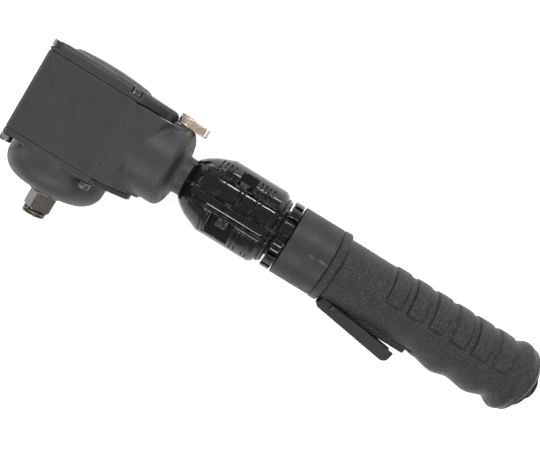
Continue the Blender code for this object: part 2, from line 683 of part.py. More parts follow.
def handle_body():
    """Front tube and its flange, bare cylinder, core under the grip, and the air ways."""
    profile = [(TUBE_START, 7.3), (TUBE_START, TUBE_RADIUS), (116.0, TUBE_RADIUS), (116.0, 17.0),
               (120.0, 17.0), (120.0, TUBE_RADIUS), (BODY_START, TUBE_RADIUS),
               (BODY_START, BODY_RADIUS - 0.8), (BODY_START + 0.8, BODY_RADIUS),
               (BODY_END - 0.5, BODY_RADIUS), (BODY_END, BODY_RADIUS - 0.5), (BODY_END, CORE_RADIUS),
               (CORE_END, CORE_RADIUS), (CORE_END, 9.2), (268.0, 9.2), (268.0, CHAMBER_RADIUS),
               (170.0, CHAMBER_RADIUS), (168.0, 5.0), (134.0, 5.0), (134.0, 7.3)]
    body = revolve("handle_body", profile, "X", 36)
    lug = block("lug", (177.0, -22.7, -4.9), (191.0, -13.0, 4.9))
    combine(body, [lug], "UNION")
    pin_hole = move(rod("pin_hole", "Z", -20.0, 20.0, 1.55, 16), (LEVER_PIN_X, LEVER_PIN_LEVEL, 0.0))
    stem_hole = move(rod("stem_hole", "Y", -30.0, -5.0, 4.3, 24), (STEM_X, 0.0, 0.0))
    return finish(combine(body, [pin_hole, stem_hole]), "handle", "satin_black")


def blend_steps(value, low, high):
    t = min(1.0, max(0.0, (value - low) / (high - low)))
    return t * t * (3.0 - 2.0 * t)


def along_curve(points, x):
    """Read a smooth line through a few (place, value) points."""
    if x <= points[0][0]:
        return points[0][1]
    for (x0, v0), (x1, v1) in zip(points, points[1:]):
        if x <= x1:
            return v0 + (v1 - v0) * blend_steps(x, x0, x1)
    return points[-1][1]


GRIP_BODY = [(GRIP_START, 21.9), (167.4, 22.5), (171.0, 22.5), (173.0, 20.0), (204.0, 19.8), (283.0, 19.7),
             (287.0, 19.5), (294.5, 22.3), (299.5, 21.0), (GRIP_END, 17.0)]
GRIP_FINGERS = [(233.0, 19.8), (239.0, 20.8), (252.0, 23.0), (262.5, 20.9), (275.0, 22.6), (286.0, 19.7),
                (294.0, 22.8), (299.5, 21.2), (GRIP_END, 17.0)]
PAD_STARTS = [204.0 + 14.2 * number for number in range(6)]
PAD_LENGTH = 10.5


def grip_radius(x, angle):
    """Round body, finger swells on the lever side, thumb pads on the back."""
    radius = along_curve(GRIP_BODY, x)
    lever_side = blend_steps(-math.sin(angle), 0.1, 0.9)
    back_side = blend_steps(math.sin(angle), -0.1, 0.12)
    if x > GRIP_FINGERS[0][0]:
        radius += (along_curve(GRIP_FINGERS, x) - radius) * lever_side
    for start in PAD_STARTS:
        if start < x < start + PAD_LENGTH:
            radius += 0.9 * back_side
    return radius


def grip_stations():
    """Places along the grip where its outline needs a ring of points."""
    places = [x for x, _ in GRIP_BODY]
    for start in PAD_STARTS:
        places += [start - 0.4, start + 0.4, start + PAD_LENGTH - 0.4, start + PAD_LENGTH + 0.4]
    places += [290.5, 297.5, 301.8]
    return sorted(set(places) - {204.0, 283.0})


def rubber_grip():
    segments = 32
    places = grip_stations()
    points = []
    for x in places:
        angles = [TURN * i / segments for i in range(segments)]
        points += [around("X", x, grip_radius(x, a), a) for a in angles]
    inner = [(GRIP_END, GRIP_BORE), (GRIP_START, GRIP_BORE)]
    for x, radius in inner:
        points += [around("X", x, radius, TURN * i / segments) for i in range(segments)]
    rings = len(places) + len(inner)
    faces = []
    for ring in range(rings):
        following = (ring + 1) % rings
        for i in range(segments):
            j = (i + 1) % segments
            faces.append([ring * segments + i, ring * segments + j,
                          following * segments + j, following * segments + i])
    body = mesh_object("rubber_grip", points, faces)
    guard = block("guard", (190.0, -22.2, -5.3), (233.0, -17.0, 5.3))
    soften(guard, 1.2, 2, 60.0)
    combine(body, [guard], "UNION")
    lug_window = block("lug_window", (174.1, -30.0, -5.2), (191.4, -10.0, 5.2))
    stem_hole = move(rod("stem_hole", "Y", -30.0, -10.0, 4.6, 20), (STEM_X, 0.0, 0.0))
    slots = [block("slot", (172.4, -30.0, low), (236.0, -16.5, low + 3.4)) for low in (-8.9, 5.5)]
    return finish(combine(body, [lug_window, stem_hole] + slots), "handle", "rubber")


def throttle_lever():
    """A channel over the guard rib, pivoted near its front, drawn closed and then let open."""
    half = 8.2
    outline = [(LEVER_START + 2.0, -half), (LEVER_END - 5.0, -half)]
    outline += arc((LEVER_END - 5.0, 0.0), 5.0, -60, 60, 6)
    outline += [(LEVER_END - 5.0, half), (LEVER_START + 2.0, half), (LEVER_START, half - 2.0),
                (LEVER_START, 2.0 - half)]
    body = extrude("throttle_lever", outline, "Y", LEVER_FACE, -18.0)
    soften(body, 0.8, 2, 60.0)
    channel = block("channel", (160.0, LEVER_CHANNEL, -6.2), (250.0, -10.0, 6.2))
    trim = hull("trim", [(LEVER_START + 22.0, -17.0, -20.0), (260.0, -17.0, -20.0), (260.0, -19.8, -20.0),
                         (LEVER_START + 22.0, -17.0, 20.0), (260.0, -17.0, 20.0), (260.0, -19.8, 20.0)])
    pin_hole = move(rod("pin_hole", "Z", -20.0, 20.0, 1.55, 16), (LEVER_PIN_X, LEVER_PIN_LEVEL, 0.0))
    combine(body, [channel, trim, pin_hole])
    spin(body, -LEVER_OPEN, "Z", (LEVER_PIN_X, LEVER_PIN_LEVEL, 0.0))
    return finish(body, "throttle", "satin_black")


def throttle_valve():
    """Stem pushed by the lever, its bushing in the handle wall, and the return spring."""
    pin = move(rod("lever_pin", "Z", -8.5, 8.5, 1.25, 16), (LEVER_PIN_X, LEVER_PIN_LEVEL, 0.0))
    finish(pin, "handle", "bright_steel")
    stem = revolve("valve_stem", [(-26.4, 0.0), (-26.4, 1.2), (-25.6, STEM_RADIUS), (-8.6, STEM_RADIUS),
                                  (-8.0, 4.4), (-6.2, 4.4), (-6.2, 1.6), (-4.2, 1.6), (-4.2, 0.0)], "Y", 20)
    finish(move(stem, (STEM_X, 0.0, 0.0)), "stem", "bright_steel")
    bushing = tube("valve_bushing", "Y", -15.3, -9.0, STEM_RADIUS + GAP, 4.0, 20)
    finish(move(bushing, (STEM_X, 0.0, 0.0)), "handle", "bronze")
    return finish(valve_spring(), "handle", "bright_steel")


def valve_spring():
    """A short coil between the stem's head and the far wall of the chamber."""
    low, high = -5.6, 8.6
    turns, steps, sides, wire, coil = 4, 10, 5, 0.45, 3.2
    points = []
    total = turns * steps
    for i in range(total + 1):
        angle = TURN * i / steps
        centre = Vector((coil * math.sin(angle), low + (high - low) * i / total, coil * math.cos(angle)))
        out = Vector((math.sin(angle), 0.0, math.cos(angle)))
        for k in range(sides):
            turn = TURN * k / sides
            points.append(centre + out * wire * math.cos(turn) + Vector((0, wire * math.sin(turn), 0)))
    faces = [list(range(sides)), list(range(total * sides, (total + 1) * sides))]
    for i in range(total):
        for k in range(sides):
            j = (k + 1) % sides
            faces.append([i * sides + k, i * sides + j, (i + 1) * sides + j, (i + 1) * sides + k])
    return move(mesh_object("valve_spring", points, faces), (STEM_X, 0.0, 0.0))


def handle_end():
    """Felt muffler, slotted exhaust cap, threaded air inlet and its strainer."""
    finish(tube("muffler", "X", CORE_END + GAP, 297.0, 7.5, 15.4, 24), "handle", "felt")
    cap = tube("exhaust_cap", "X", 297.3, GRIP_END + 0.4, 7.5, 15.4, 28)
    slots = []
    for number in range(8):
        slot = block("slot", (290.0, -1.2, 9.3), (320.0, 1.2, 13.6))
        slots.append(spin(slot, TURN * number / 8, "X"))
    finish(combine(cap, slots), "handle", "satin_black")
    inlet = revolve("inlet_bushing", [(272.0, INLET_BORE), (272.0, 8.9), (CORE_END, 8.9), (CORE_END, 7.2),
                                      (INLET_END - 0.7, 7.2), (INLET_END, 6.5), (INLET_END, INLET_BORE)],
                    "X", 28)
    finish(inlet, "handle", "gloss_black")
    finish(rod("inlet_screen", "X", 273.0, 273.8, 4.8, 24), "handle", "bronze")


def build():
    clear_scene()
    head_housing()
    rear_cover()
    cover_gasket()
    head_screws()
    hammer_case()
    nose_gasket()
    motor_plates()
    motor_cylinder()
    rotor()
    vanes()
    hammer_cage()
    hammer_dogs()
    anvil()
    anvil_rings()
    reverse_valve()
    reverse_lever()
    swivel_spigot()
    collar_half("collar_upper", 1)
    collar_half("collar_lower", -1)
    clamp_fasteners()
    lock_ring()
    handle_body()
    rubber_grip()
    throttle_lever()
    throttle_valve()
    handle_end()


build()
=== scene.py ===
import json
import math

import bmesh
import bpy
import numpy as np
from mathutils import Matrix, Vector


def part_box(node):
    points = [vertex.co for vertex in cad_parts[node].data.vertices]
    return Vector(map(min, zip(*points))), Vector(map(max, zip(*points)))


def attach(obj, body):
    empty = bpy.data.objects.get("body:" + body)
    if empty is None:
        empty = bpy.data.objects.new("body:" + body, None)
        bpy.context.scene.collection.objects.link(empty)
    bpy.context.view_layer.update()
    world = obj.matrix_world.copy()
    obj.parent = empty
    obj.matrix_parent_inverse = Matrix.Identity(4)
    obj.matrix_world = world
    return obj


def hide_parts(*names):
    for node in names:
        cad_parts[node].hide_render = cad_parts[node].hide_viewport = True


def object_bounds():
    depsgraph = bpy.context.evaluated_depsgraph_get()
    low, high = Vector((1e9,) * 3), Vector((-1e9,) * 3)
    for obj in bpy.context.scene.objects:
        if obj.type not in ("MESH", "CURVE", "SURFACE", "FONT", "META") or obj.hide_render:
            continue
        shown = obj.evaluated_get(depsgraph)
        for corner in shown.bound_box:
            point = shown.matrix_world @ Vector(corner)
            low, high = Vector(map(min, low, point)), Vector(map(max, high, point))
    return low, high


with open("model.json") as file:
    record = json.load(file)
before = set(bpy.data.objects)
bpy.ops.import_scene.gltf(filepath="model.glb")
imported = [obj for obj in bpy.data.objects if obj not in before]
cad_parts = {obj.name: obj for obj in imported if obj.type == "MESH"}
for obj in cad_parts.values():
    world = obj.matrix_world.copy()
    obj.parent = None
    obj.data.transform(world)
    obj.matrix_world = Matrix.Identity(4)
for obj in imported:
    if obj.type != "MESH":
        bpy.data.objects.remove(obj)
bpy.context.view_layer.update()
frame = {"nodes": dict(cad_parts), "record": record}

# Shapes are drawn in millimetres about the point where the drive axis meets the handle
# axis, as in the CAD source: X along the handle, Y up the drive axis, Z out of the side.
MM = 0.001
TURN = 2.0 * math.pi


def middle_y(node):
    low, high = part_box(node)
    return (low.y + high.y) / 2


AXIS_Y = middle_y("inlet_bushing")


def span(node, axis):
    """Where a CAD node starts and ends along one axis, in drawing millimetres."""
    low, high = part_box(node)
    shift = AXIS_Y if axis == 1 else 0.0
    return (low[axis] - shift) / MM, (high[axis] - shift) / MM


FINE = 1.0

# The head: a case with a nose below it and a cover above it, each on a gasket.
HEAD_HALF = span("head_housing", 2)[1]
HEAD_CORNER = 4.0
MOTOR_BORE = 24.3
SCREW_HOLE = 2.3
CASE_FLOOR = span("head_housing", 1)[0]
CASE_TOP = span("cover_gasket", 1)[0] - 0.2
COVER_FLOOR = CASE_TOP + 0.45
COVER_TOP = span("rear_cover", 1)[0] + 6.6
FLANGE_TOP = CASE_FLOOR - 0.4
FLANGE_FLOOR = span("hammer_case", 1)[1] - 3.0
NOSE_FLOOR = span("hammer_case", 1)[0]
NOSE_RADIUS = 30.1
DOME_RADIUS = 170.0
TIP = span("anvil", 1)[0]
SCREW_OFFSET = 25.5
BOSS_RADIUS = 24.5
BOSS_END = 62.0
NECK_RADIUS = 12.0
SPIGOT_END = 106.0
REVERSE_X = 52.0

# The wedge from the case to the boss: its sides draw in along X, its end leans out with Y.
WEDGE_HALF = 27.5
WEDGE_TAPER = 0.31

# The clamp collar and the lever's pin.
COLLAR_START, COLLAR_END = span("collar_upper", 0)
COLLAR_RADIUS = 24.1
RING_BORE = 15.3
CLAMP_X = sum(span("clamp_bolt_1", 0)) / 2
CLAMP_Z = sum(span("clamp_bolt_2", 2)) / 2
PIN_X = sum(span("lever_pin", 0)) / 2
PIN_Y = sum(span("lever_pin", 1)) / 2


# ---- camera, light and floor -------------------------------------------------------

def make_camera():
    data = bpy.data.cameras.new("camera")
    data.lens = 40.1
    data.sensor_width = 36.0
    data.clip_start = 0.01
    camera = bpy.data.objects.new("camera", data)
    bpy.context.scene.collection.objects.link(camera)
    turn = Matrix.Rotation(math.radians(31.5), 3, "Z")
    turn = turn @ Matrix.Rotation(math.radians(-2.4), 3, "X")
    turn = turn @ Matrix.Rotation(math.radians(1.5), 3, "Y")
    target = Vector((0.126, AXIS_Y + 0.0016, 0.0))
    camera.matrix_world = Matrix.Translation(target + turn @ Vector((0.0, 0.0, 0.36))) @ turn.to_4x4()
    bpy.context.scene.camera = camera


def area_light(name, place, target, size, power):
    data = bpy.data.lights.new(name, "AREA")
    data.shape = "RECTANGLE"
    data.size = size[0]
    data.size_y = size[1]
    data.energy = power
    light = bpy.data.objects.new(name, data)
    bpy.context.scene.collection.objects.link(light)
    light.location = place
    light.rotation_mode = "QUATERNION"
    light.rotation_quaternion = (Vector(target) - Vector(place)).to_track_quat("-Z", "Y")


def make_lights():
    """Thin strips, which the gloss black mirrors as white lines, in a white surround."""
    centre = Vector((0.15, AXIS_Y, 0.0))
    lights = (("back_strip", (-0.05, 0.66, 0.62), (1.1, 0.035), 11.0),
              ("front_strip", (0.05, -0.45, 0.78), (1.1, 0.02), 4.0),
              ("low_strip", (0.05, -0.69, 0.58), (1.1, 0.03), 5.0),
              ("head_strip", (-0.90, 0.10, 0.40), (0.6, 0.04), 2.5),
              ("grip_softbox", (0.85, 0.10, 0.7), (0.3, 0.3), 3.0))
    for name, away, size, watts in lights:
        area_light(name, centre + Vector(away), centre, size, watts)
    world = bpy.data.worlds.new("studio")
    world.use_nodes = True
    background = world.node_tree.nodes["Background"]
    background.inputs["Color"].default_value = (1.0, 1.0, 1.0, 1.0)
    background.inputs["Strength"].default_value = 0.78
    bpy.context.scene.world = world


def make_floor():
    """A plain pale floor just under the side that the tool lies on."""
    mesh = bpy.data.meshes.new("floor")
    reach = 12.0
    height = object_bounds()[0].z - 0.0002
    corners = [(x, y, height) for x, y in ((-1, -1), (1, -1), (1, 1), (-1, 1))]
    corners = [(x * reach, y * reach, z) for x, y, z in corners]
    mesh.from_pydata(corners, [], [(0, 1, 2, 3)])
    floor = bpy.data.objects.new("floor", mesh)
    bpy.context.scene.collection.objects.link(floor)
    pale = bpy.data.materials.new("floor_pale")
    pale.use_nodes = True
    shader = pale.node_tree.nodes["Principled BSDF"]
    shader.inputs["Base Color"].default_value = (0.92, 0.92, 0.92, 1.0)
    shader.inputs["Roughness"].default_value = 0.9
    mesh.materials.append(pale)


# ---- materials ---------------------------------------------------------------------

class Nodes:
    """Shorthand for building one material's node tree."""

    def __init__(self, name):
        self.material = bpy.data.materials.new(name)
        self.material.use_nodes = True
        self.tree = self.material.node_tree
        self.shader = self.tree.nodes["Principled BSDF"]
        self.coordinate = self.tree.nodes.new("ShaderNodeTexCoord").outputs["Object"]

    def add(self, kind, settings=None, inputs=None):
        node = self.tree.nodes.new(kind)
        for key, value in (settings or {}).items():
            setattr(node, key, value)
        for key, value in (inputs or {}).items():
            if isinstance(value, bpy.types.NodeSocket):
                self.tree.links.new(value, node.inputs[key])
            else:
                node.inputs[key].default_value = value
        return node

    def stretched(self, scale):
        mapping = self.add("ShaderNodeMapping", inputs={"Vector": self.coordinate, "Scale": scale})
        return mapping.outputs["Vector"]

    def noise(self, scale, detail=3.0, vector=None, rough=0.5):
        inputs = {"Vector": vector or self.coordinate, "Scale": scale, "Detail": detail, "Roughness": rough}
        return self.add("ShaderNodeTexNoise", inputs=inputs).outputs["Fac"]

    def cells(self, scale):
        inputs = {"Vector": self.coordinate, "Scale": scale}
        node = self.add("ShaderNodeTexVoronoi", {"feature": "DISTANCE_TO_EDGE"}, inputs)
        return node.outputs["Distance"]

    def spread(self, value, low, high, to_low, to_high):
        inputs = {"Value": value, "From Min": low, "From Max": high, "To Min": to_low, "To Max": to_high}
        return self.add("ShaderNodeMapRange", inputs=inputs).outputs["Result"]

    def maths(self, operation, one, two):
        return self.add("ShaderNodeMath", {"operation": operation}, {0: one, 1: two}).outputs["Value"]

    def mix(self, factor, one, two):
        node = self.add("ShaderNodeMix", {"data_type": "RGBA"})
        for socket, value in zip((node.inputs[0], node.inputs[6], node.inputs[7]), (factor, one, two)):
            if isinstance(value, bpy.types.NodeSocket):
                self.tree.links.new(value, socket)
            else:
                socket.default_value = value
        return node.outputs[2]

    def bump(self, height, distance, below=None):
        inputs = {"Height": height, "Distance": distance, "Strength": 1.0}
        if below is not None:
            inputs["Normal"] = below
        return self.add("ShaderNodeBump", inputs=inputs).outputs["Normal"]

    def edges(self):
        """1 on convex edges, 0 elsewhere, from the mesh's own curvature."""
        pointed = self.add("ShaderNodeNewGeometry").outputs["Pointiness"]
        return self.spread(pointed, 0.52, 0.6, 0.0, 1.0)

    def put(self, socket, value):
        if isinstance(value, bpy.types.NodeSocket):
            self.tree.links.new(value, self.shader.inputs[socket])
        else:
            self.shader.inputs[socket].default_value = value


def colour(rgb):
    return (rgb[0], rgb[1], rgb[2], 1.0)


def shade(rgb, factor):
    return (rgb[0] * factor, rgb[1] * factor, rgb[2] * factor, 1.0)


def coated(name, base, rough, metallic=0.0, grain=2200.0, depth=0.00005, blotch=0.12, edge_wear_and_highlight=0.3,
           edge_wear_and_highlight_colour=(0.16, 0.16, 0.165), spread=0.07, specular=0.5):
    """Paint or a coating: fine grain, uneven sheen, slight blotches, and lightened edges: rubbed wear on
    most coatings, a painted highlight along the edges of the gloss black.
    """
    n = Nodes(name)
    broad = n.noise(55.0, 4.0)
    fine = n.noise(grain, 2.0, rough=0.7)
    tone = n.mix(n.spread(broad, 0.3, 0.7, 0.0, 1.0), shade(base, 1.0 - blotch), shade(base, 1.0 + blotch))
    speck = n.mix(n.spread(fine, 0.35, 0.75, 0.0, 0.5), tone, shade(base, 1.5))
    # Convex edges are lightened towards the edge colour: rubbed wear on paint and screws, a painted
    # highlight on the gloss black.
    rubbed_and_highlit_edges = n.maths("MULTIPLY", n.edges(), n.spread(n.noise(260.0, 5.0), 0.45, 0.7, 0.0, edge_wear_and_highlight))
    n.put("Base Color", n.mix(rubbed_and_highlit_edges, speck, colour(edge_wear_and_highlight_colour)))
    n.put("Metallic", metallic)
    n.put("Roughness", n.spread(n.noise(120.0, 4.0), 0.3, 0.7, rough - spread, rough + spread))
    n.put("Normal", n.bump(fine, depth))
    n.put("Specular IOR Level", specular)
    return n.material


def bare_metal(name, base, rough, lines=(1.0, 1.0, 1.0), grain=900.0, stain=None, amount=0.0):
    """Machined or plated metal: tool marks, uneven polish, and stain in broad patches."""
    n = Nodes(name)
    marks = n.noise(grain, 4.0, n.stretched(lines), 0.65)
    broad = n.noise(140.0, 4.0)
    tone = n.mix(n.spread(marks, 0.3, 0.7, 0.0, 1.0), shade(base, 0.82), shade(base, 1.16))
    if stain is not None:
        tone = n.mix(n.spread(broad, 0.42, 0.62, 0.0, amount), tone, colour(stain))
    n.put("Base Color", n.mix(n.maths("MULTIPLY", n.edges(), 0.6), tone, shade(base, 1.7)))
    n.put("Metallic", 1.0)
    n.put("Roughness", n.spread(marks, 0.25, 0.75, rough - 0.09, rough + 0.13))
    n.put("Normal", n.bump(marks, 0.000012))
    return n.material


def leathered_rubber(name, base, rough):
    """Moulded rubber with a leather grain: small cells with creases, painted shade darkening the creases,
    and dull wear.
    """
    n = Nodes(name)
    cells = n.cells(600.0)
    cell_height = n.spread(cells, 0.0, 0.3, 0.0, 1.0)
    fine = n.noise(2600.0, 3.0)
    broad = n.noise(70.0, 4.0)
    tone = n.mix(n.spread(broad, 0.3, 0.7, 0.0, 1.0), shade(base, 0.86), shade(base, 1.14))
    # Base colour darkened towards the cell edges: painted shade in the creases between the cells.
    n.put("Base Color", n.mix(cell_height, shade(base, 0.62), tone))
    n.put("Roughness", n.spread(fine, 0.3, 0.7, rough - 0.1, rough + 0.08))
    n.put("Specular IOR Level", 0.24)
    first = n.bump(cell_height, 0.00024)
    n.put("Normal", n.bump(fine, 0.00003, first))
    return n.material


def moulded(name, base, rough, grain=1500.0, depth=0.00002, sheen=0.0):
    """Moulded or felted stuff: one fine grain and a slight cloudiness."""
    n = Nodes(name)
    fine = n.noise(grain, 3.0)
    cloud = n.spread(n.noise(90.0), 0.3, 0.7, 0.0, 1.0)
    n.put("Base Color", n.mix(cloud, shade(base, 0.85), shade(base, 1.15)))
    n.put("Roughness", n.spread(fine, 0.3, 0.7, rough - 0.08, rough + 0.08))
    n.put("Normal", n.bump(fine, depth))
    if sheen:
        n.put("Sheen Weight", sheen)
    return n.material


def make_materials():
    return {
        "head_paint": coated("textured_black_coating", (0.0128, 0.0128, 0.0140), 0.5, edge_wear_and_highlight=0.2,
                             specular=0.27),
        "satin_black": coated("satin_dark_anodising", (0.0108, 0.0118, 0.0112), 0.52, grain=3200.0,
                              depth=0.000012, blotch=0.08, specular=0.2),
        "lever_black": coated("lever_coating", (0.0088, 0.0096, 0.0094), 0.5, grain=2600.0,
                              depth=0.00002, blotch=0.1, specular=0.2),
        # The gloss black's light edge colour is a painted highlight along the block and groove edges.
        "gloss_black": coated("gloss_black_plate", (0.0025, 0.003, 0.003), 0.075, grain=900.0,
                              depth=0.000006, blotch=0.15, edge_wear_and_highlight=0.9, edge_wear_and_highlight_colour=(0.3, 0.31, 0.31),
                              spread=0.03, specular=0.2),
        "rubber": leathered_rubber("leathered_rubber", (0.0088, 0.0092, 0.0093), 0.46),
        "seal": moulded("seal_rubber", (0.006, 0.006, 0.006), 0.7),
        "tool_steel": bare_metal("turned_tool_steel", (0.07, 0.066, 0.058), 0.25,
                                 lines=(1.0, 14.0, 1.0), grain=380.0,
                                 stain=(0.10, 0.075, 0.055), amount=0.55),
        "bright_steel": bare_metal("ground_steel", (0.56, 0.56, 0.57), 0.24),
        "dark_screw": coated("black_oxide", (0.03, 0.03, 0.033), 0.3, metallic=0.85, grain=1400.0,
                             depth=0.00001, blotch=0.2, edge_wear_and_highlight=0.7, edge_wear_and_highlight_colour=(0.35, 0.35, 0.36)),
        "nickel": bare_metal("warm_nickel_plate", (0.46, 0.405, 0.33), 0.24,
                             lines=(1.0, 6.0, 1.0), grain=520.0,
                             stain=(0.30, 0.24, 0.18), amount=0.35),
        "bronze": bare_metal("sintered_bronze", (0.50, 0.32, 0.15), 0.42, grain=2400.0),
        "aluminium": bare_metal("machined_aluminium", (0.58, 0.59, 0.60), 0.34),
        "resin": moulded("phenolic_resin", (0.20, 0.12, 0.06), 0.55),
        "felt": moulded("wool_felt", (0.22, 0.22, 0.20), 0.95, grain=1900.0, depth=0.00012, sheen=0.4),
    }


# ---- meshes from distance fields ---------------------------------------------------

def round_max(a, b, r):
    """Where both solids are, with a round of radius r on the edge between them."""
    return np.minimum(-r, np.maximum(a, b)) + np.hypot(np.maximum(a + r, 0), np.maximum(b + r, 0))


def round_min(a, b, r):
    """Where either solid is, with a fillet of radius r in the corner between them."""
    return np.maximum(r, np.minimum(a, b)) - np.hypot(np.maximum(r - a, 0), np.maximum(r - b, 0))


def between(v, low, high):
    """Negative between two planes."""
    return np.maximum(low - v, v - high)


def disc(u, v, radius):
    """Negative inside a circle, or inside a rod that stands on it."""
    return np.hypot(u, v) - radius


def square_2d(u, v, half, corner):
    """Negative inside a square with rounded corners."""
    qu = np.abs(u) - half + corner
    qv = np.abs(v) - half + corner
    return np.hypot(np.maximum(qu, 0), np.maximum(qv, 0)) + np.minimum(np.maximum(qu, qv), 0) - corner


def box_3d(x, y, z, low, high, r=0.3):
    """Negative inside a box with rounded edges."""
    first = round_max(between(x, low[0], high[0]), between(y, low[1], high[1]), r)
    return round_max(first, between(z, low[2], high[2]), r)


def field_mesh(name, field, low, high, step):
    """The surface where the field is zero, one point to a cell, moved onto it exactly."""
    step *= FINE
    axes = [np.arange(a - 1.5 * step, b + 2.5 * step, step) for a, b in zip(low, high)]
    grid = np.meshgrid(*axes, indexing="ij", sparse=True)
    value = field(*grid).astype(np.float32)
    size = np.array(value.shape)
    strides = np.array([size[1] * size[2], size[2], 1])
    edges = []
    for axis in range(3):
        one = [slice(None)] * 3
        two = [slice(None)] * 3
        one[axis] = slice(0, -1)
        two[axis] = slice(1, None)
        a, b = value[tuple(one)], value[tuple(two)]
        where = np.argwhere((a < 0) != (b < 0))
        va, vb = a[tuple(where.T)], b[tuple(where.T)]
        place = where.astype(np.float64)
        place[:, axis] += va / (va - vb)
        u, v = [k for k in range(3) if k != axis]
        around = []
        for du, dv in ((0, 0), (1, 0), (1, 1), (0, 1)):
            cell = where.copy()
            cell[:, u] -= du
            cell[:, v] -= dv
            around.append(cell @ strides)
        edges.append((np.stack(around, 1), place, (va < 0) != (axis == 1)))
    cells = np.concatenate([e[0] for e in edges])
    used, index = np.unique(cells.ravel(), return_inverse=True)
    index = index.reshape(cells.shape)
    places = np.repeat(np.concatenate([e[1] for e in edges]), 4, axis=0)
    count = np.bincount(index.ravel(), minlength=len(used))
    points = np.stack([np.bincount(index.ravel(), places[:, k], len(used)) / count for k in range(3)], 1)
    points = points * step + np.array([a[0] for a in axes])
    flip = np.concatenate([e[2] for e in edges])
    quads = np.where(flip[:, None], index, index[:, ::-1])
    probe = 0.02
    for _ in range(3):
        here = field(*points.T)
        slope = np.stack([field(*(points + probe * np.eye(3)[k]).T) - here for k in range(3)], 1) / probe
        steepness = np.maximum((slope ** 2).sum(1), 0.2)
        move = slope * (here / steepness)[:, None]
        length = np.linalg.norm(move, axis=1, keepdims=True)
        points = points - move * np.minimum(1.0, 0.5 * step / np.maximum(length, 1e-9))
    return mesh_object(name, points, quads)


def mesh_object(name, points, faces):
    mesh = bpy.data.meshes.new(name)
    mesh.from_pydata([tuple(p) for p in np.asarray(points, float)], [], [tuple(map(int, f)) for f in faces])
    mesh.validate()
    obj = bpy.data.objects.new(name, mesh)
    bpy.context.scene.collection.objects.link(obj)
    mesh.shade_smooth()
    return obj


def face_out(obj):
    """Weld the points that coincide and turn every face outwards."""
    work = bmesh.new()
    work.from_mesh(obj.data)
    bmesh.ops.remove_doubles(work, verts=work.verts, dist=0.00001)
    bmesh.ops.recalc_face_normals(work, faces=work.faces)
    work.to_mesh(obj.data)
    work.free()
    return obj


# ---- turned meshes -----------------------------------------------------------------

def around(axis, along, radius, angle):
    """Points at a radius and an angle about the X or the Y axis."""
    side = radius * np.sin(angle)
    up = radius * np.cos(angle)
    if axis == "X":
        return np.stack([along, side, up], -1)
    return np.stack([side, along, up], -1)


def steps_between(stops, step):
    """Evenly spaced places that also include every stop."""
    places = []
    for a, b in zip(stops, stops[1:]):
        count = max(1, int(math.ceil((b - a) / step)))
        places += [a + (b - a) * i / count for i in range(count)]
    return np.array(places + [stops[-1]])


def grid_faces(rows, columns, wrap):
    """Quads between rows of points; wrap joins each row's last point to its first."""
    faces = []
    last = columns if wrap else columns - 1
    for r in range(rows - 1):
        for c in range(last):
            d = (c + 1) % columns
            a = r * columns
            b = a + columns
            faces.append((a + c, a + d, b + d, b + c))
    return faces


def turned(name, profile, axis, segments, shape=None, sharp_deg=40.0, place=(0.0, 0.0)):
    """Turn (along, radius) points about an axis. shape(radius, angle, number) may vary the radius."""
    angles = TURN * np.arange(segments) / segments
    points = []
    for number, (along, radius) in enumerate(profile):
        ring = np.full(segments, float(radius))
        if shape is not None:
            ring = shape(ring, angles, number)
        points.append(around(axis, np.full(segments, float(along)), ring, angles))
    points = np.concatenate(points)
    faces = grid_faces(len(profile), segments, True)
    if profile[0][1] > 0 and profile[-1][1] > 0:
        end = (len(profile) - 1) * segments
        faces += [(end + i, end + (i + 1) % segments, (i + 1) % segments, i) for i in range(segments)]
    if axis == "Y":
        points = points + np.array([place[0], 0.0, place[1]])
    return sharpen(face_out(mesh_object(name, points, faces)), sharp_deg)


def sharpen(obj, degrees):
    """Smooth shading, broken on edges sharper than the angle."""
    obj.data.shade_smooth()
    obj.data.set_sharp_from_angle(angle=math.radians(degrees))
    return obj


def chamfered(profile, size, steps):
    """Break each corner of a (along, radius) outline by the given size, rounded in steps."""
    made = []
    for i, point in enumerate(profile):
        here = Vector(point)
        if i in (0, len(profile) - 1) or point[1] == 0:
            made.append(tuple(here))
            continue
        back = Vector(profile[i - 1]) - here
        ahead = Vector(profile[i + 1]) - here
        cut = min(size, back.length * 0.45, ahead.length * 0.45)
        one = here + back.normalized() * cut
        two = here + ahead.normalized() * cut
        for k in range(steps + 1):
            t = k / steps
            made.append(tuple(one * (1 - t) ** 2 + here * 2 * t * (1 - t) + two * t ** 2))
    return made


def wrapped_shell(name, xs, angles, outer, inner, closed):
    """A shell about X between two radii(x, angle), all round or over part of the circle."""
    x, a = np.meshgrid(xs, angles, indexing="ij")
    top = around("X", x, outer(x, a), a).reshape(-1, 3)
    low = around("X", x, inner(x, a), a).reshape(-1, 3)
    rows, columns = x.shape
    count = rows * columns
    faces = grid_faces(rows, columns, closed)
    faces += [tuple(i + count for i in reversed(f)) for f in faces]
    last = columns if closed else columns - 1
    for row in (0, rows - 1):
        base = row * columns
        faces += [(base + c, base + (c + 1) % columns, count + base + (c + 1) % columns, count + base + c)
                  for c in range(last)]
    if not closed:
        for column in (0, columns - 1):
            faces += [(r * columns + column, (r + 1) * columns + column,
                       count + (r + 1) * columns + column, count + r * columns + column)
                      for r in range(rows - 1)]
    return face_out(mesh_object(name, np.concatenate([top, low]), faces))


def even(radius):
    """A radius for wrapped_shell() that is the same everywhere."""
    return lambda x, angle: np.full_like(x, radius)


def ramp(v, low, high):
    """0 below low, 1 above high, smooth between."""
    t = np.clip((v - low) / (high - low), 0.0, 1.0)
    return t * t * (3.0 - 2.0 * t)


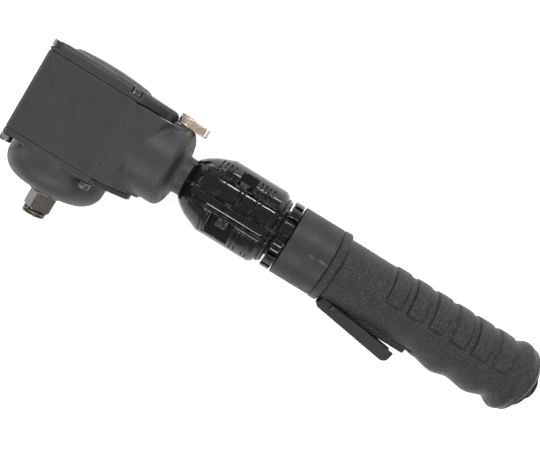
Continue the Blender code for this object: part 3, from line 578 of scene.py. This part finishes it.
def band(v, low, high, edge):
    """1 between low and high, falling to 0 over the edge width outside."""
    return ramp(v, low - edge, low) * (1.0 - ramp(v, high, high + edge))


# ---- placing pieces ----------------------------------------------------------------

def settle(obj, body, material, slot, *nodes):
    """Metres, the frame's origin, a material, a body, and the CAD nodes it stands for."""
    obj.data.transform(Matrix.Translation((0.0, AXIS_Y, 0.0)) @ Matrix.Scale(MM, 4))
    obj.data.materials.clear()
    obj.data.materials.append(MATERIALS[material])
    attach(obj, body)
    if nodes:
        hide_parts(*nodes)


def corner_places():
    """Where the head's screws stand, in X and Z."""
    return [(x * SCREW_OFFSET, z * SCREW_OFFSET) for x in (-1, 1) for z in (-1, 1)]


def corner_rods(x, z, radius):
    """Negative inside four rods on the screws' axes."""
    return disc(np.abs(x) - SCREW_OFFSET, np.abs(z) - SCREW_OFFSET, radius)


# ---- head --------------------------------------------------------------------------

def housing_field(x, y, z):
    """Case, wedge, round boss, neck with its flange and the boss of the reverse valve."""
    case = round_max(square_2d(x, z, HEAD_HALF, HEAD_CORNER), between(y, CASE_FLOOR, CASE_TOP), 0.35)
    side = np.abs(z)
    past_side = side - WEDGE_HALF + WEDGE_TAPER * (x - WEDGE_HALF)
    slow = past_side / math.hypot(1.0, WEDGE_TAPER)
    edge = 33.3 + 0.262 * (y - CASE_FLOOR)
    steep = (past_side + 1.3 * (x - edge)) / math.sqrt(1.0 + 1.6 ** 2 + 0.34 ** 2)
    wedge = round_max(round_max(slow, side - 28.05, 1.0), steep, 1.0)
    wedge = round_max(wedge, between(y, CASE_FLOOR, CASE_TOP), 0.4)
    wedge = round_max(wedge, 18.0 - x, 0.5)
    reach = np.hypot(y, z)
    boss = round_max(reach - BOSS_RADIUS, between(x, 26.0, BOSS_END), 4.5)
    neck = np.maximum(reach - NECK_RADIUS, between(x, 40.0, SPIGOT_END))
    flange = round_max(reach - 15.0, between(x, 90.0, 94.0), 0.4)
    boss = round_min(boss, neck, 4.6)
    body = round_min(wedge, boss, 1.8)
    body = round_min(body, case, 0.4)
    valve_boss = round_max(disc(x - REVERSE_X, z, 8.0), between(y, 12.0, 24.8), 1.2)
    body = round_min(body, valve_boss, 2.0)
    seat = np.maximum(CASE_TOP - y, x - 47.0)
    body = round_max(body, -seat, 0.4)
    body = np.minimum(body, flange)
    bore = disc(x, z, MOTOR_BORE)
    valve_bore = np.maximum(disc(x - REVERSE_X, z, 5.3), -8.3 - y)
    air = np.maximum(reach - 4.5, 20.0 - x)
    spigot = np.maximum(reach - 7.3, 84.0 - x)
    holes = np.maximum(corner_rods(x, z, SCREW_HOLE), 11.0 - np.abs(y + 2.0))
    for hollow in (bore, valve_bore, air, spigot, holes):
        body = np.maximum(body, -hollow)
    return body


def cover_field(x, y, z):
    """A square plate with a tongue over the wedge, a low dome and four screw pockets."""
    side = np.abs(z)
    line = (x - 32.0) * 0.871 + (side - 25.5) * 0.492
    line = np.maximum(line, side - HEAD_HALF + 0.5)
    tongue = np.minimum(np.maximum(np.maximum(line, x - 41.75), 10.0 - x), disc(x - 37.0, z, 9.5))
    outline = round_min(square_2d(x, z, HEAD_HALF, HEAD_CORNER), tongue, 0.6)
    plate = round_max(outline, y - COVER_TOP, 3.4)
    plate = round_max(plate, COVER_FLOOR - y, 0.3)
    ball = np.sqrt(x ** 2 + (y - COVER_TOP - 3.6 + DOME_RADIUS) ** 2 + z ** 2) - DOME_RADIUS
    dome = np.maximum(round_max(ball, disc(x, z, 26.5), 4.5), COVER_FLOOR + 2.0 - y)
    body = round_min(plate, dome, 1.5)
    pockets = np.maximum(corner_rods(x, z, 3.9), COVER_TOP - 4.8 - y)
    body = round_max(body, -pockets, 0.9)
    body = np.maximum(body, -corner_rods(x, z, SCREW_HOLE))
    return np.maximum(body, -np.maximum(disc(x, z, 20.0), y - COVER_FLOOR - 1.6))


def nose_field(x, y, z):
    """A square flange with a tongue and a round nose, open round the anvil."""
    side = np.abs(z)
    line_one = (x - 43.0) * 0.797 + (side - 6.5) * 0.603
    line_two = (x - 45.0) * 0.868 + (side - 3.0) * 0.496
    tongue = np.maximum(np.maximum(line_one, line_two), np.maximum(x - 45.0, 10.0 - x))
    tongue = np.maximum(tongue, side - HEAD_HALF + 0.3)
    outline = np.minimum(square_2d(x, z, HEAD_HALF, HEAD_CORNER), tongue)
    flange = round_max(outline, between(y, FLANGE_FLOOR, FLANGE_TOP), 0.5)
    nose = round_max(disc(x, z, NOSE_RADIUS), NOSE_FLOOR - y, 13.5)
    nose = np.maximum(nose, y - FLANGE_FLOOR - 1.0)
    body = round_min(flange, nose, 1.4)
    spots = round_max(corner_rods(x, z, 4.6), y - FLANGE_FLOOR, 0.2)
    body = round_max(body, -spots, 0.3)
    cavity = np.maximum(disc(x, z, MOTOR_BORE), -44.8 - y)
    body = np.maximum(body, -cavity)
    body = round_max(body, -disc(x, z, 12.0), 0.7)
    return np.maximum(body, -corner_rods(x, z, SCREW_HOLE))


def gasket_field(x, y, z, low, high):
    ring = np.maximum(square_2d(x, z, HEAD_HALF - 0.3, HEAD_CORNER), -disc(x, z, 24.6))
    return np.maximum(ring, between(y, low, high))


def make_head():
    housing = field_mesh("housing_shell", housing_field, (-29, CASE_FLOOR, -29.1), (106, 25, 29.1), 0.5)
    settle(housing, "head", "head_paint", "head_paint", "head_housing")
    cover = field_mesh("cover_shell", cover_field, (-29, COVER_FLOOR, -29), (46.6, 34, 29), 0.4)
    settle(cover, "head", "head_paint", "head_paint", "rear_cover")
    nose = field_mesh("nose_shell", nose_field, (-30.2, NOSE_FLOOR, -30.2), (45, FLANGE_TOP, 30.2), 0.5)
    settle(nose, "head", "head_paint", "head_paint", "hammer_case")
    layers = (("cover_gasket", CASE_TOP - 0.05, COVER_FLOOR + 0.05),
              ("nose_gasket", FLANGE_TOP - 0.05, CASE_FLOOR + 0.05))
    for node, low, high in layers:
        layer = field_mesh(node + "_sheet", lambda x, y, z, a=low, b=high: gasket_field(x, y, z, a, b),
                           (-28.7, low, -28.7), (28.7, high, 28.7), 0.45)
        settle(layer, "head", "seal", "seal", node)


def hexagon(angles, across):
    """Radii on a hexagon that is so far across its flats."""
    sector = TURN / 6
    return across / 2 / np.cos((angles % sector) - sector / 2)


def cap_screw(name, place, seat, tip, up):
    """Socket cap screw with a chamfered head, a hexagon recess and its shank."""
    head = 3.8
    outer = [(tip, 0.001), (tip, 1.7), (tip + up * 0.4, 2.0), (seat, 2.0), (seat, 3.3),
             (seat + up * 0.2, 3.5), (seat + up * (head - 0.6), 3.5), (seat + up * (head - 0.2), 3.36),
             (seat + up * head, 3.0), (seat + up * head, 2.1), (seat + up * (head - 0.25), 1.75),
             (seat + up * (head - 2.1), 1.75), (seat + up * (head - 2.5), 0.001)]

    def shape(ring, angles, number):
        return hexagon(angles, 3.1) if number in (10, 11) else ring

    return turned(name, outer, "Y", 48, shape, 35.0, place)


def make_head_screws():
    for number, place in enumerate(corner_places(), 1):
        cover = cap_screw(f"cover_cap_screw_{number}", place, COVER_TOP - 4.6, CASE_TOP - 11.0, 1)
        settle(cover, "head", "dark_screw", "dark_screw", f"cover_screw_{number}")
        nose = cap_screw(f"nose_cap_screw_{number}", place, FLANGE_FLOOR - 0.2, CASE_FLOOR + 10.0, -1)
        settle(nose, "head", "dark_screw", "dark_screw", f"nose_screw_{number}")


# ---- drive -------------------------------------------------------------------------

def anvil_field(x, y, z):
    """Two jaws, a round shank and collar, the drive square and its grooved tip."""
    reach = np.hypot(x, z)
    u = (x + z) * math.sqrt(0.5)
    v = (x - z) * math.sqrt(0.5)
    shank = round_max(reach - 8.2, between(y, -41.0, -24.9), 0.4)
    collar = round_max(reach - 9.4, between(y, -53.2, -39.9), 0.7)
    body = round_min(shank, collar, 0.6)
    square = square_2d(u, v, 6.35, 0.35)
    square = np.maximum(square, (reach - 8.5) * 0.9)
    square = round_max(square, between(y, TIP + 3.6, -50.0), 0.35)
    lead = (reach - 8.6 + 0.7 * (TIP + 4.9 - y)) * 0.8
    square = np.maximum(square, lead)
    body = round_min(body, square, 0.4)
    neck = np.maximum(reach - 5.6, between(y, TIP + 0.7, -52.0))
    tip = round_max(reach - 6.9, between(y, TIP, TIP + 1.4), 0.45)
    body = np.minimum(np.minimum(body, neck), tip)
    jaw_one = box_3d(x, y, z, (6.0, -31.7, -2.2), (10.4, -25.2, 2.2))
    jaw_two = box_3d(x, y, z, (-10.4, -39.7, -2.2), (-6.0, -33.1, 2.2))
    return np.minimum(np.minimum(body, jaw_one), jaw_two)


def make_drive():
    anvil = field_mesh("anvil_drive", anvil_field, (-10.4, TIP, -9.4), (10.4, -24.9, 9.4), 0.24)
    settle(anvil, "anvil", "tool_steel", "tool_steel", "anvil")


def make_snap_ring():
    """A round wire bent to a ring, with a gap in it."""
    low, high = span("friction_ring", 1)
    middle = (low + high) / 2
    gap = math.radians(6.0)
    open_at = math.radians(200.0)
    count = 90
    sides = 12
    angles = np.linspace(open_at + gap, open_at + TURN - gap, count)
    section = [(middle + (high - low) / 2 * math.sin(t), 6.72 + 0.4 * math.cos(t))
               for t in np.linspace(0.0, TURN, sides + 1)[:-1]]
    points = [around("Y", np.full(count, a), np.full(count, r), angles) for a, r in section]
    points.append(points[0])
    faces = grid_faces(len(points), count, False)
    faces += [tuple(r * count for r in range(sides)), tuple(r * count + count - 1 for r in range(sides))]
    ring = face_out(mesh_object("snap_ring", np.concatenate(points), faces))
    settle(sharpen(ring, 50.0), "anvil", "tool_steel", "bright_steel", "friction_ring")


def thumb_field(x, y, z):
    """A hub with two turned grooves and a flat thumb bar with cross grooves."""
    low, high = span("reverse_lever", 1)
    end = span("reverse_lever", 0)[1]
    reach = disc(x - REVERSE_X, z, 0.0)
    hub = round_max(reach - 5.2, between(y, low, high), 0.5)
    for share in (0.22, 0.78):
        level = low + share * (high - low)
        hub = np.maximum(hub, -np.maximum(4.75 - reach, np.abs(y - level) - 0.3))
    bar_2d = round_max(np.abs(z) - 4.2, x - end, 2.6)
    bar = round_max(np.maximum(bar_2d, REVERSE_X - x), between(y, low, low + 5.7), 0.45)
    for number in range(5):
        place = 58.6 + 1.15 * number
        groove = np.maximum(np.abs(x - place) - 0.3, np.maximum(3.4 - np.abs(z), low + 0.9 - y))
        top = np.maximum(np.abs(x - place) - 0.3, low + 5.0 - y)
        bar = np.maximum(bar, -np.minimum(groove, top))
    notch = np.maximum(np.abs(x - 64.3) - 0.42, np.maximum(3.0 - np.abs(z), low + 0.5 - y))
    top_notch = np.maximum(np.abs(x - 64.3) - 0.42, low + 4.7 - y)
    bar = np.maximum(bar, -np.minimum(notch, top_notch))
    flats = np.maximum(np.abs(np.abs(x - REVERSE_X) - 2.2) - 0.42, 3.5 - np.abs(z))
    hub = np.maximum(hub, -np.maximum(flats, low + 0.4 - y))
    body = round_min(hub, bar, 0.5)
    return np.maximum(body, 2.9 - reach)


def make_reverse_lever():
    low, high = span("reverse_lever", 1)
    start, end = span("reverse_lever", 0)
    lever = field_mesh("reverse_thumb_lever", thumb_field, (start, low, -5.2), (end, high, 5.2), 0.16)
    settle(lever, "reverse", "nickel", "nickel", "reverse_lever")


# ---- clamp collar and ring ---------------------------------------------------------

def collar_barrel(x):
    """The collar's radius before anything is cut into it."""
    places = [COLLAR_START, COLLAR_START + 0.5, 74.0, 79.0, 89.4, 124.8, COLLAR_END - 0.5, COLLAR_END]
    return np.interp(x, places, [13.6, 14.2, 16.6, 19.8, COLLAR_RADIUS, COLLAR_RADIUS, 20.3, 19.6])


def cross_grooves(x, places, width):
    """1 in narrow grooves across the collar, 0 between them."""
    total = 0.0
    for place in places:
        total = np.maximum(total, band(x, place - width / 2, place + width / 2, 0.25))
    return total


def upper_cut(x, level):
    """How deep the upper half is cut at a place, by the height above the split: paired
    grooves in a row of blocks, a long groove over the row, the split's bevel, a row of ribs
    with a line under it, and a ring groove near the end."""
    row = band(level, 1.9, 9.6, 0.3) * band(x, 79.5, 127.0, 0.4)
    pairs = cross_grooves(x, [90.3, 93.1, 102.4, 105.0, 113.4, 116.0], 0.5)
    cut = 0.85 * pairs * row
    cut = np.maximum(cut, 1.2 * band(level, 10.4, 11.5, 0.3) * band(x, 79.5, 127.5, 0.5))
    cut = np.maximum(cut, 0.8 * band(level, 0.0, 1.3, 0.3))
    ribs = cross_grooves(x, [84.5, 87.3, 90.1, 92.9, 110.5, 113.3, 116.1, 118.9], 0.9)
    cut = np.maximum(cut, 0.9 * ribs * band(level, 13.4, 20.4, 0.4))
    cut = np.maximum(cut, 0.7 * band(level, 12.9, 13.7, 0.3) * band(x, 83.0, 122.0, 0.4))
    return np.maximum(cut, 0.9 * band(x, 127.6, 128.6, 0.25))


def lower_cut(x, level):
    """The same for the lower half, by the depth below the split: two long grooves, the
    split's bevel, paired grooves below them, shallow ones above, and the ring groove."""
    cut = 1.2 * band(level, 5.4, 6.4, 0.3) * band(x, 80.5, 127.5, 0.5)
    cut = np.maximum(cut, 0.9 * band(level, 8.8, 9.6, 0.3) * band(x, 80.5, 127.5, 0.5))
    cut = np.maximum(cut, 0.8 * band(level, 0.0, 0.7, 0.3))
    pairs = cross_grooves(x, [91.0, 93.4, 112.0, 114.6, 120.0, 122.4], 0.55)
    cut = np.maximum(cut, 0.95 * pairs * band(level, 9.6, 21.5, 0.4))
    shallow = cross_grooves(x, [99.0, 101.6, 113.6, 116.2], 0.4)
    cut = np.maximum(cut, 0.5 * shallow * band(level, 1.4, 5.0, 0.3))
    return np.maximum(cut, 0.9 * band(x, 127.6, 128.6, 0.25))


def collar_half(name, side):
    """One half of the collar, with a pocket for the screw heads or the nuts."""
    pocket_y = 12.0 if side > 0 else 8.5
    pocket_low, pocket_high = (98.0, 108.0) if side > 0 else (94.5, 109.5)

    def outer(x, angle):
        up = np.abs(np.sin(angle))
        out = np.abs(np.cos(angle))
        barrel = collar_barrel(x)
        level = barrel * up
        cut = upper_cut(x, level) if side > 0 else lower_cut(x, level)
        radius = barrel - cut
        floor = np.maximum(11.6 / np.maximum(out, 1e-3), pocket_y / np.maximum(up, 1e-3))
        inside = band(x, pocket_low, pocket_high, 0.22)
        return np.where(floor < radius, radius + (floor - radius) * inside, radius)

    def inner(x, angle):
        seat = NECK_RADIUS + 0.3
        return np.where((np.abs(x - 92.0) < 2.4) | (x > 107.6), RING_BORE, seat)

    stops = [COLLAR_START, COLLAR_START + 0.5, 74.0, 79.0, 89.4, 89.6, pocket_low - 0.22, pocket_low,
             pocket_high, pocket_high + 0.22, 124.8, COLLAR_END - 0.5, COLLAR_END]
    xs = steps_between(sorted(stops), 0.24 * FINE)
    edge = math.asin(0.25 / 20.0)
    start = edge if side > 0 else math.pi + edge
    angles = np.linspace(start, start + math.pi - 2 * edge, int(330 / FINE))
    shell = wrapped_shell(name, xs, angles, outer, inner, False)
    return sharpen(shell, 45.0)


def knurl(depth, teeth, rows):
    """A shape for turned() that cuts waves into some rows of its profile."""
    def shape(ring, angles, number):
        if number not in rows:
            return ring
        return ring - depth * (0.5 + 0.5 * np.cos(angles * teeth))
    return shape


def make_collar():
    upper = collar_half("clamp_half_upper", 1)
    settle(upper, "handle", "gloss_black", "gloss_black", "collar_upper")
    lower = collar_half("clamp_half_lower", -1)
    settle(lower, "handle", "gloss_black", "gloss_black", "collar_lower")
    for number, z in enumerate((-CLAMP_Z, CLAMP_Z), 1):
        tip, seat = span(f"clamp_bolt_{number}", 1)[1], -8.8
        profile = [(tip, 0.001), (tip, 2.0), (tip - 0.4, 2.4), (seat, 2.4), (seat, 3.8),
                   (seat - 0.3, 4.0), (seat - 0.6, 4.0), (seat - 4.0, 4.0), (seat - 4.5, 3.9),
                   (seat - 5.0, 3.4), (seat - 5.0, 2.4), (seat - 4.7, 2.0), (seat - 2.6, 2.0),
                   (seat - 2.2, 0.001)]
        toothed = knurl(0.3, 36, (6, 7))

        def shape(ring, angles, row):
            return hexagon(angles, 3.6) if row in (11, 12) else toothed(ring, angles, row)

        bolt = turned(f"clamp_cap_screw_{number}", profile, "Y", 216, shape, 35.0, (CLAMP_X, z))
        settle(bolt, "handle", "dark_screw", "dark_screw", f"clamp_bolt_{number}")
        low, high = span(f"clamp_nut_{number}", 1)
        rim = chamfered([(low, 2.72), (low, 3.6), (high, 3.6), (high, 2.72)], 0.35, 3)
        toothed_rim = knurl(0.22, 32, range(5, 9))
        nut = turned(f"clamp_round_nut_{number}", rim, "Y", 160, toothed_rim, 35.0, (CLAMP_X, z))
        settle(nut, "handle", "dark_screw", "dark_screw", f"clamp_nut_{number}")


def make_lock_ring():
    start, end = span("lock_ring", 0)
    notches = 12

    def outer(x, angle):
        rim = 22.0 - 0.5 * (1.0 - ramp(x, start, start + 0.6)) - 0.5 * ramp(x, end - 0.6, end)
        place = (angle * notches / TURN) % 1.0
        tooth = band(place, 0.17, 0.83, 0.035)
        return rim - 2.2 * (1.0 - tooth)

    xs = steps_between([start, start + 0.6, end - 0.6, end], 0.25)
    angles = np.linspace(0.0, TURN, int(720 / FINE), endpoint=False)
    ring = wrapped_shell("castellated_ring", xs, angles, outer, even(RING_BORE), True)
    settle(sharpen(ring, 40.0), "lock_ring", "gloss_black", "gloss_black", "lock_ring")


# ---- handle ------------------------------------------------------------------------

def make_handle_body():
    outline = [(108.0, 7.3), (108.0, 15.0), (139.6, 15.0), (139.6, 22.1), (166.0, 22.1), (166.0, 15.5),
               (288.0, 15.5), (288.0, 9.2), (268.0, 9.2), (268.0, 9.6), (170.0, 9.6), (168.0, 5.0),
               (134.0, 5.0), (134.0, 7.3)]
    body = turned("handle_barrel", chamfered(outline, 0.55, 3), "X", 144)
    settle(body, "handle", "satin_black", "satin_black", "handle_body")
    low, high = (177.0, -22.7, -4.9), (191.0, -13.0, 4.9)

    def lug_field(x, y, z):
        block = box_3d(x, y, z, low, high, 0.8)
        return np.maximum(block, 1.55 - np.hypot(x - PIN_X, y - PIN_Y))

    lug = field_mesh("lever_lug", lug_field, low, high, 0.35)
    settle(lug, "handle", "satin_black", "satin_black")


GRIP_START, GRIP_END = span("rubber_grip", 0)
PADS = [204.0 + 14.2 * number for number in range(6)]
PAD_LENGTH = 10.1
SLEEVE_RADIUS = 15.9
GRIP_BODY = [(GRIP_START, 21.7), (167.4, 22.5), (171.0, 22.5), (173.2, 20.0), (204.0, 19.8), (283.0, 19.7),
             (287.0, 19.5), (294.5, 22.3), (299.5, 21.0), (GRIP_END, 17.0)]
GRIP_FINGERS = [(233.0, 19.8), (239.0, 20.8), (252.0, 23.0), (262.5, 20.9), (275.0, 22.6), (286.0, 19.7),
                (294.0, 22.8), (299.5, 21.2), (GRIP_END, 17.0)]


def smooth_line(points, x):
    """A curve through (x, value) points, level at each of them."""
    result = np.full_like(x, points[0][1])
    for (x0, v0), (x1, v1) in zip(points, points[1:]):
        result = np.where(x > x0, v0 + (v1 - v0) * ramp(x, x0, x1), result)
    return result


def grip_outer(x, angle):
    """The rubber's outer radius: raised pads above, and below the finger waves and the
    guard beside the lever, with the lever's slot, window and hole cut into it."""
    up = np.sin(angle)
    radius = smooth_line(GRIP_BODY, x)
    fingers = smooth_line(GRIP_FINGERS, x)
    lever_side = ramp(-up, 0.1, 0.9)
    radius = np.where(x > GRIP_FINGERS[0][0], radius + (fingers - radius) * lever_side, radius)
    for start in PADS:
        pad = band(x, start + 0.5, start + PAD_LENGTH - 0.5, 0.5) * ramp(up, -0.03, 0.03)
        middle = (x - start - PAD_LENGTH / 2) / (PAD_LENGTH / 2)
        radius = radius + pad * (0.75 + 0.25 * (1.0 - middle ** 2))
        rim = band(x, start + 0.1, start + PAD_LENGTH - 0.1, 0.3) * ramp(up, -0.07, -0.045)
        core = band(x, start + 0.7, start + PAD_LENGTH - 0.7, 0.3) * ramp(up, -0.02, 0.005)
        radius = radius - 0.3 * np.clip(rim - core, 0.0, 1.0)
    z = np.abs(radius * np.cos(angle))
    lower = -up
    level = np.maximum(lower, 1e-3)
    guard = band(x, 191.0, 232.0, 0.9) * (1.0 - ramp(z, 4.4, 5.3)) * (lower > 0)
    radius = np.where(guard > 0, np.maximum(radius, radius + (22.2 / level - radius) * guard), radius)
    slot = band(x, 172.6, 235.8, 0.25) * band(z, 5.7, 8.7, 0.25) * (lower > 0)
    radius = radius + (16.5 / level - radius) * slot * (16.5 / level < radius)
    window = band(x, 174.3, 191.2, 0.25) * (1.0 - ramp(z, 5.0, 5.4)) * (lower > 0)
    radius = radius + (SLEEVE_RADIUS - radius) * window
    hole = (1.0 - ramp(np.hypot(x - 200.0, z), 4.4, 4.8)) * (lower > 0)
    return radius + (SLEEVE_RADIUS - radius) * hole


def make_grip():
    stops = sorted({p[0] for p in GRIP_BODY} | {172.35, 172.6, 174.05, 174.3, 191.2, 191.45, 235.8, 236.05})
    xs = steps_between(stops, 0.3 * FINE)
    angles = np.linspace(0.0, TURN, int(420 / FINE), endpoint=False)
    grip = wrapped_shell("leather_grain_grip", xs, angles, grip_outer, even(15.8), True)
    slant_start = 290.0
    for vertex in grip.data.vertices:
        far = max(0.0, vertex.co.x - slant_start) / (GRIP_END - slant_start)
        low = min(1.0, max(0.0, (6.0 - vertex.co.y) / 14.0))
        vertex.co.x -= 2.4 * far * low
    settle(sharpen(grip, 60.0), "handle", "rubber", "rubber", "rubber_grip")


def lever_field(x, y, z):
    """The throttle paddle, drawn along its own u and v from the pin: a hollow channel."""
    open_angle = math.radians(9.0)
    c, s = math.cos(open_angle), math.sin(open_angle)
    dx, dy = x - PIN_X, y - PIN_Y
    u = dx * c - dy * s
    v = dx * s + dy * c
    face, top = -5.3, 3.6
    length, half = 46.2, 8.2
    belly = round_max(u - length, face - v, 6.2)
    side = round_max(np.maximum(belly, v - top), -8.4 - u, 1.6)
    plan = round_max(np.abs(z) - half, u - length, 4.6)
    body = round_max(np.maximum(side, plan), np.maximum(side, np.abs(z) - half), 0.9)
    channel = np.maximum(np.abs(z) - 6.2, face + 2.0 - v)
    body = round_max(body, -channel, 0.3)
    trim = v - 2.0 - 0.02 * u
    body = round_max(body, trim, 0.5)
    return np.maximum(body, 1.5 - np.hypot(u, v))


def make_lever():
    lever = field_mesh("throttle_paddle", lever_field, (172, -37, -8.3), (235, -15, 8.3), 0.3)
    settle(lever, "throttle", "lever_black", "satin_black", "throttle_lever")
    low, high = span("lever_pin", 2)
    profile = chamfered([(low, 0.001), (low, 1.25), (high, 1.25), (high, 0.001)], 0.25, 2)
    pin = turned("lever_pivot_pin", profile, "Y", 40)
    pin.data.transform(Matrix.Translation((PIN_X, PIN_Y, 0.0)) @ Matrix.Rotation(math.pi / 2, 4, "X"))
    settle(pin, "handle", "dark_screw", "bright_steel", "lever_pin")


def make_exhaust_cap():
    low, high = span("exhaust_cap", 0)

    def cap_field(x, y, z):
        reach = np.hypot(y, z)
        body = round_max(np.maximum(reach - 15.4, 7.5 - reach), between(x, low, high), 0.4)
        angle = np.arctan2(y, z) % (TURN / 8) - TURN / 16
        slot = np.maximum(np.abs(reach * np.sin(angle)) - 1.2, between(reach, 9.3, 13.6))
        return round_max(body, -slot, 0.25)

    cap = field_mesh("exhaust_end_cap", cap_field, (low, -15.4, -15.4), (high, 15.4, 15.4), 0.3)
    settle(cap, "handle", "satin_black", "satin_black", "exhaust_cap")


def make_inlet():
    """The inlet bushing, with its inside thread as one helix."""
    start, end = span("inlet_bushing", 0)
    pitch = 1.34
    xs = steps_between([start, 288.0, 288.2, 304.3, 304.5, end - 0.8, end], 0.22 * FINE)

    def outer(x, angle):
        rim = np.where(x < 288.1, 8.9, np.where(x > 304.4, 8.6, 7.2))
        return rim - 0.6 * ramp(x, end - 0.8, end)

    def thread(x, angle):
        turn = (x / pitch + angle / TURN) % 1.0
        depth = 0.62 * (1.0 - np.abs(2.0 * turn - 1.0)) * ramp(x, end - 14.0, end - 13.0)
        return 5.2 + depth + 0.7 * ramp(x, end - 0.9, end)

    angles = np.linspace(0.0, TURN, 120, endpoint=False)
    bushing = wrapped_shell("threaded_inlet", xs, angles, outer, thread, True)
    settle(sharpen(bushing, 40.0), "handle", "gloss_black", "gloss_black", "inlet_bushing")


# ---- carried-over CAD nodes --------------------------------------------------------

def dress_cad_nodes():
    """Give the inner parts, which no piece stands for, the material of their slot."""
    for part in frame["record"]["subparts"]:
        node = frame["nodes"].get(part["node"])
        if node is None or node.hide_render:
            continue
        node.data.materials.clear()
        node.data.materials.append(MATERIALS[part["material_slot"]])
        node.data.shade_smooth()
        node.data.set_sharp_from_angle(angle=math.radians(35.0))


make_camera()
make_lights()
make_floor()
bpy.context.scene.view_settings.view_transform = "Standard"
MATERIALS = make_materials()
make_head()
make_head_screws()
make_drive()
make_snap_ring()
make_reverse_lever()
make_collar()
make_lock_ring()
make_handle_body()
make_grip()
make_lever()
make_exhaust_cap()
make_inlet()
dress_cad_nodes()
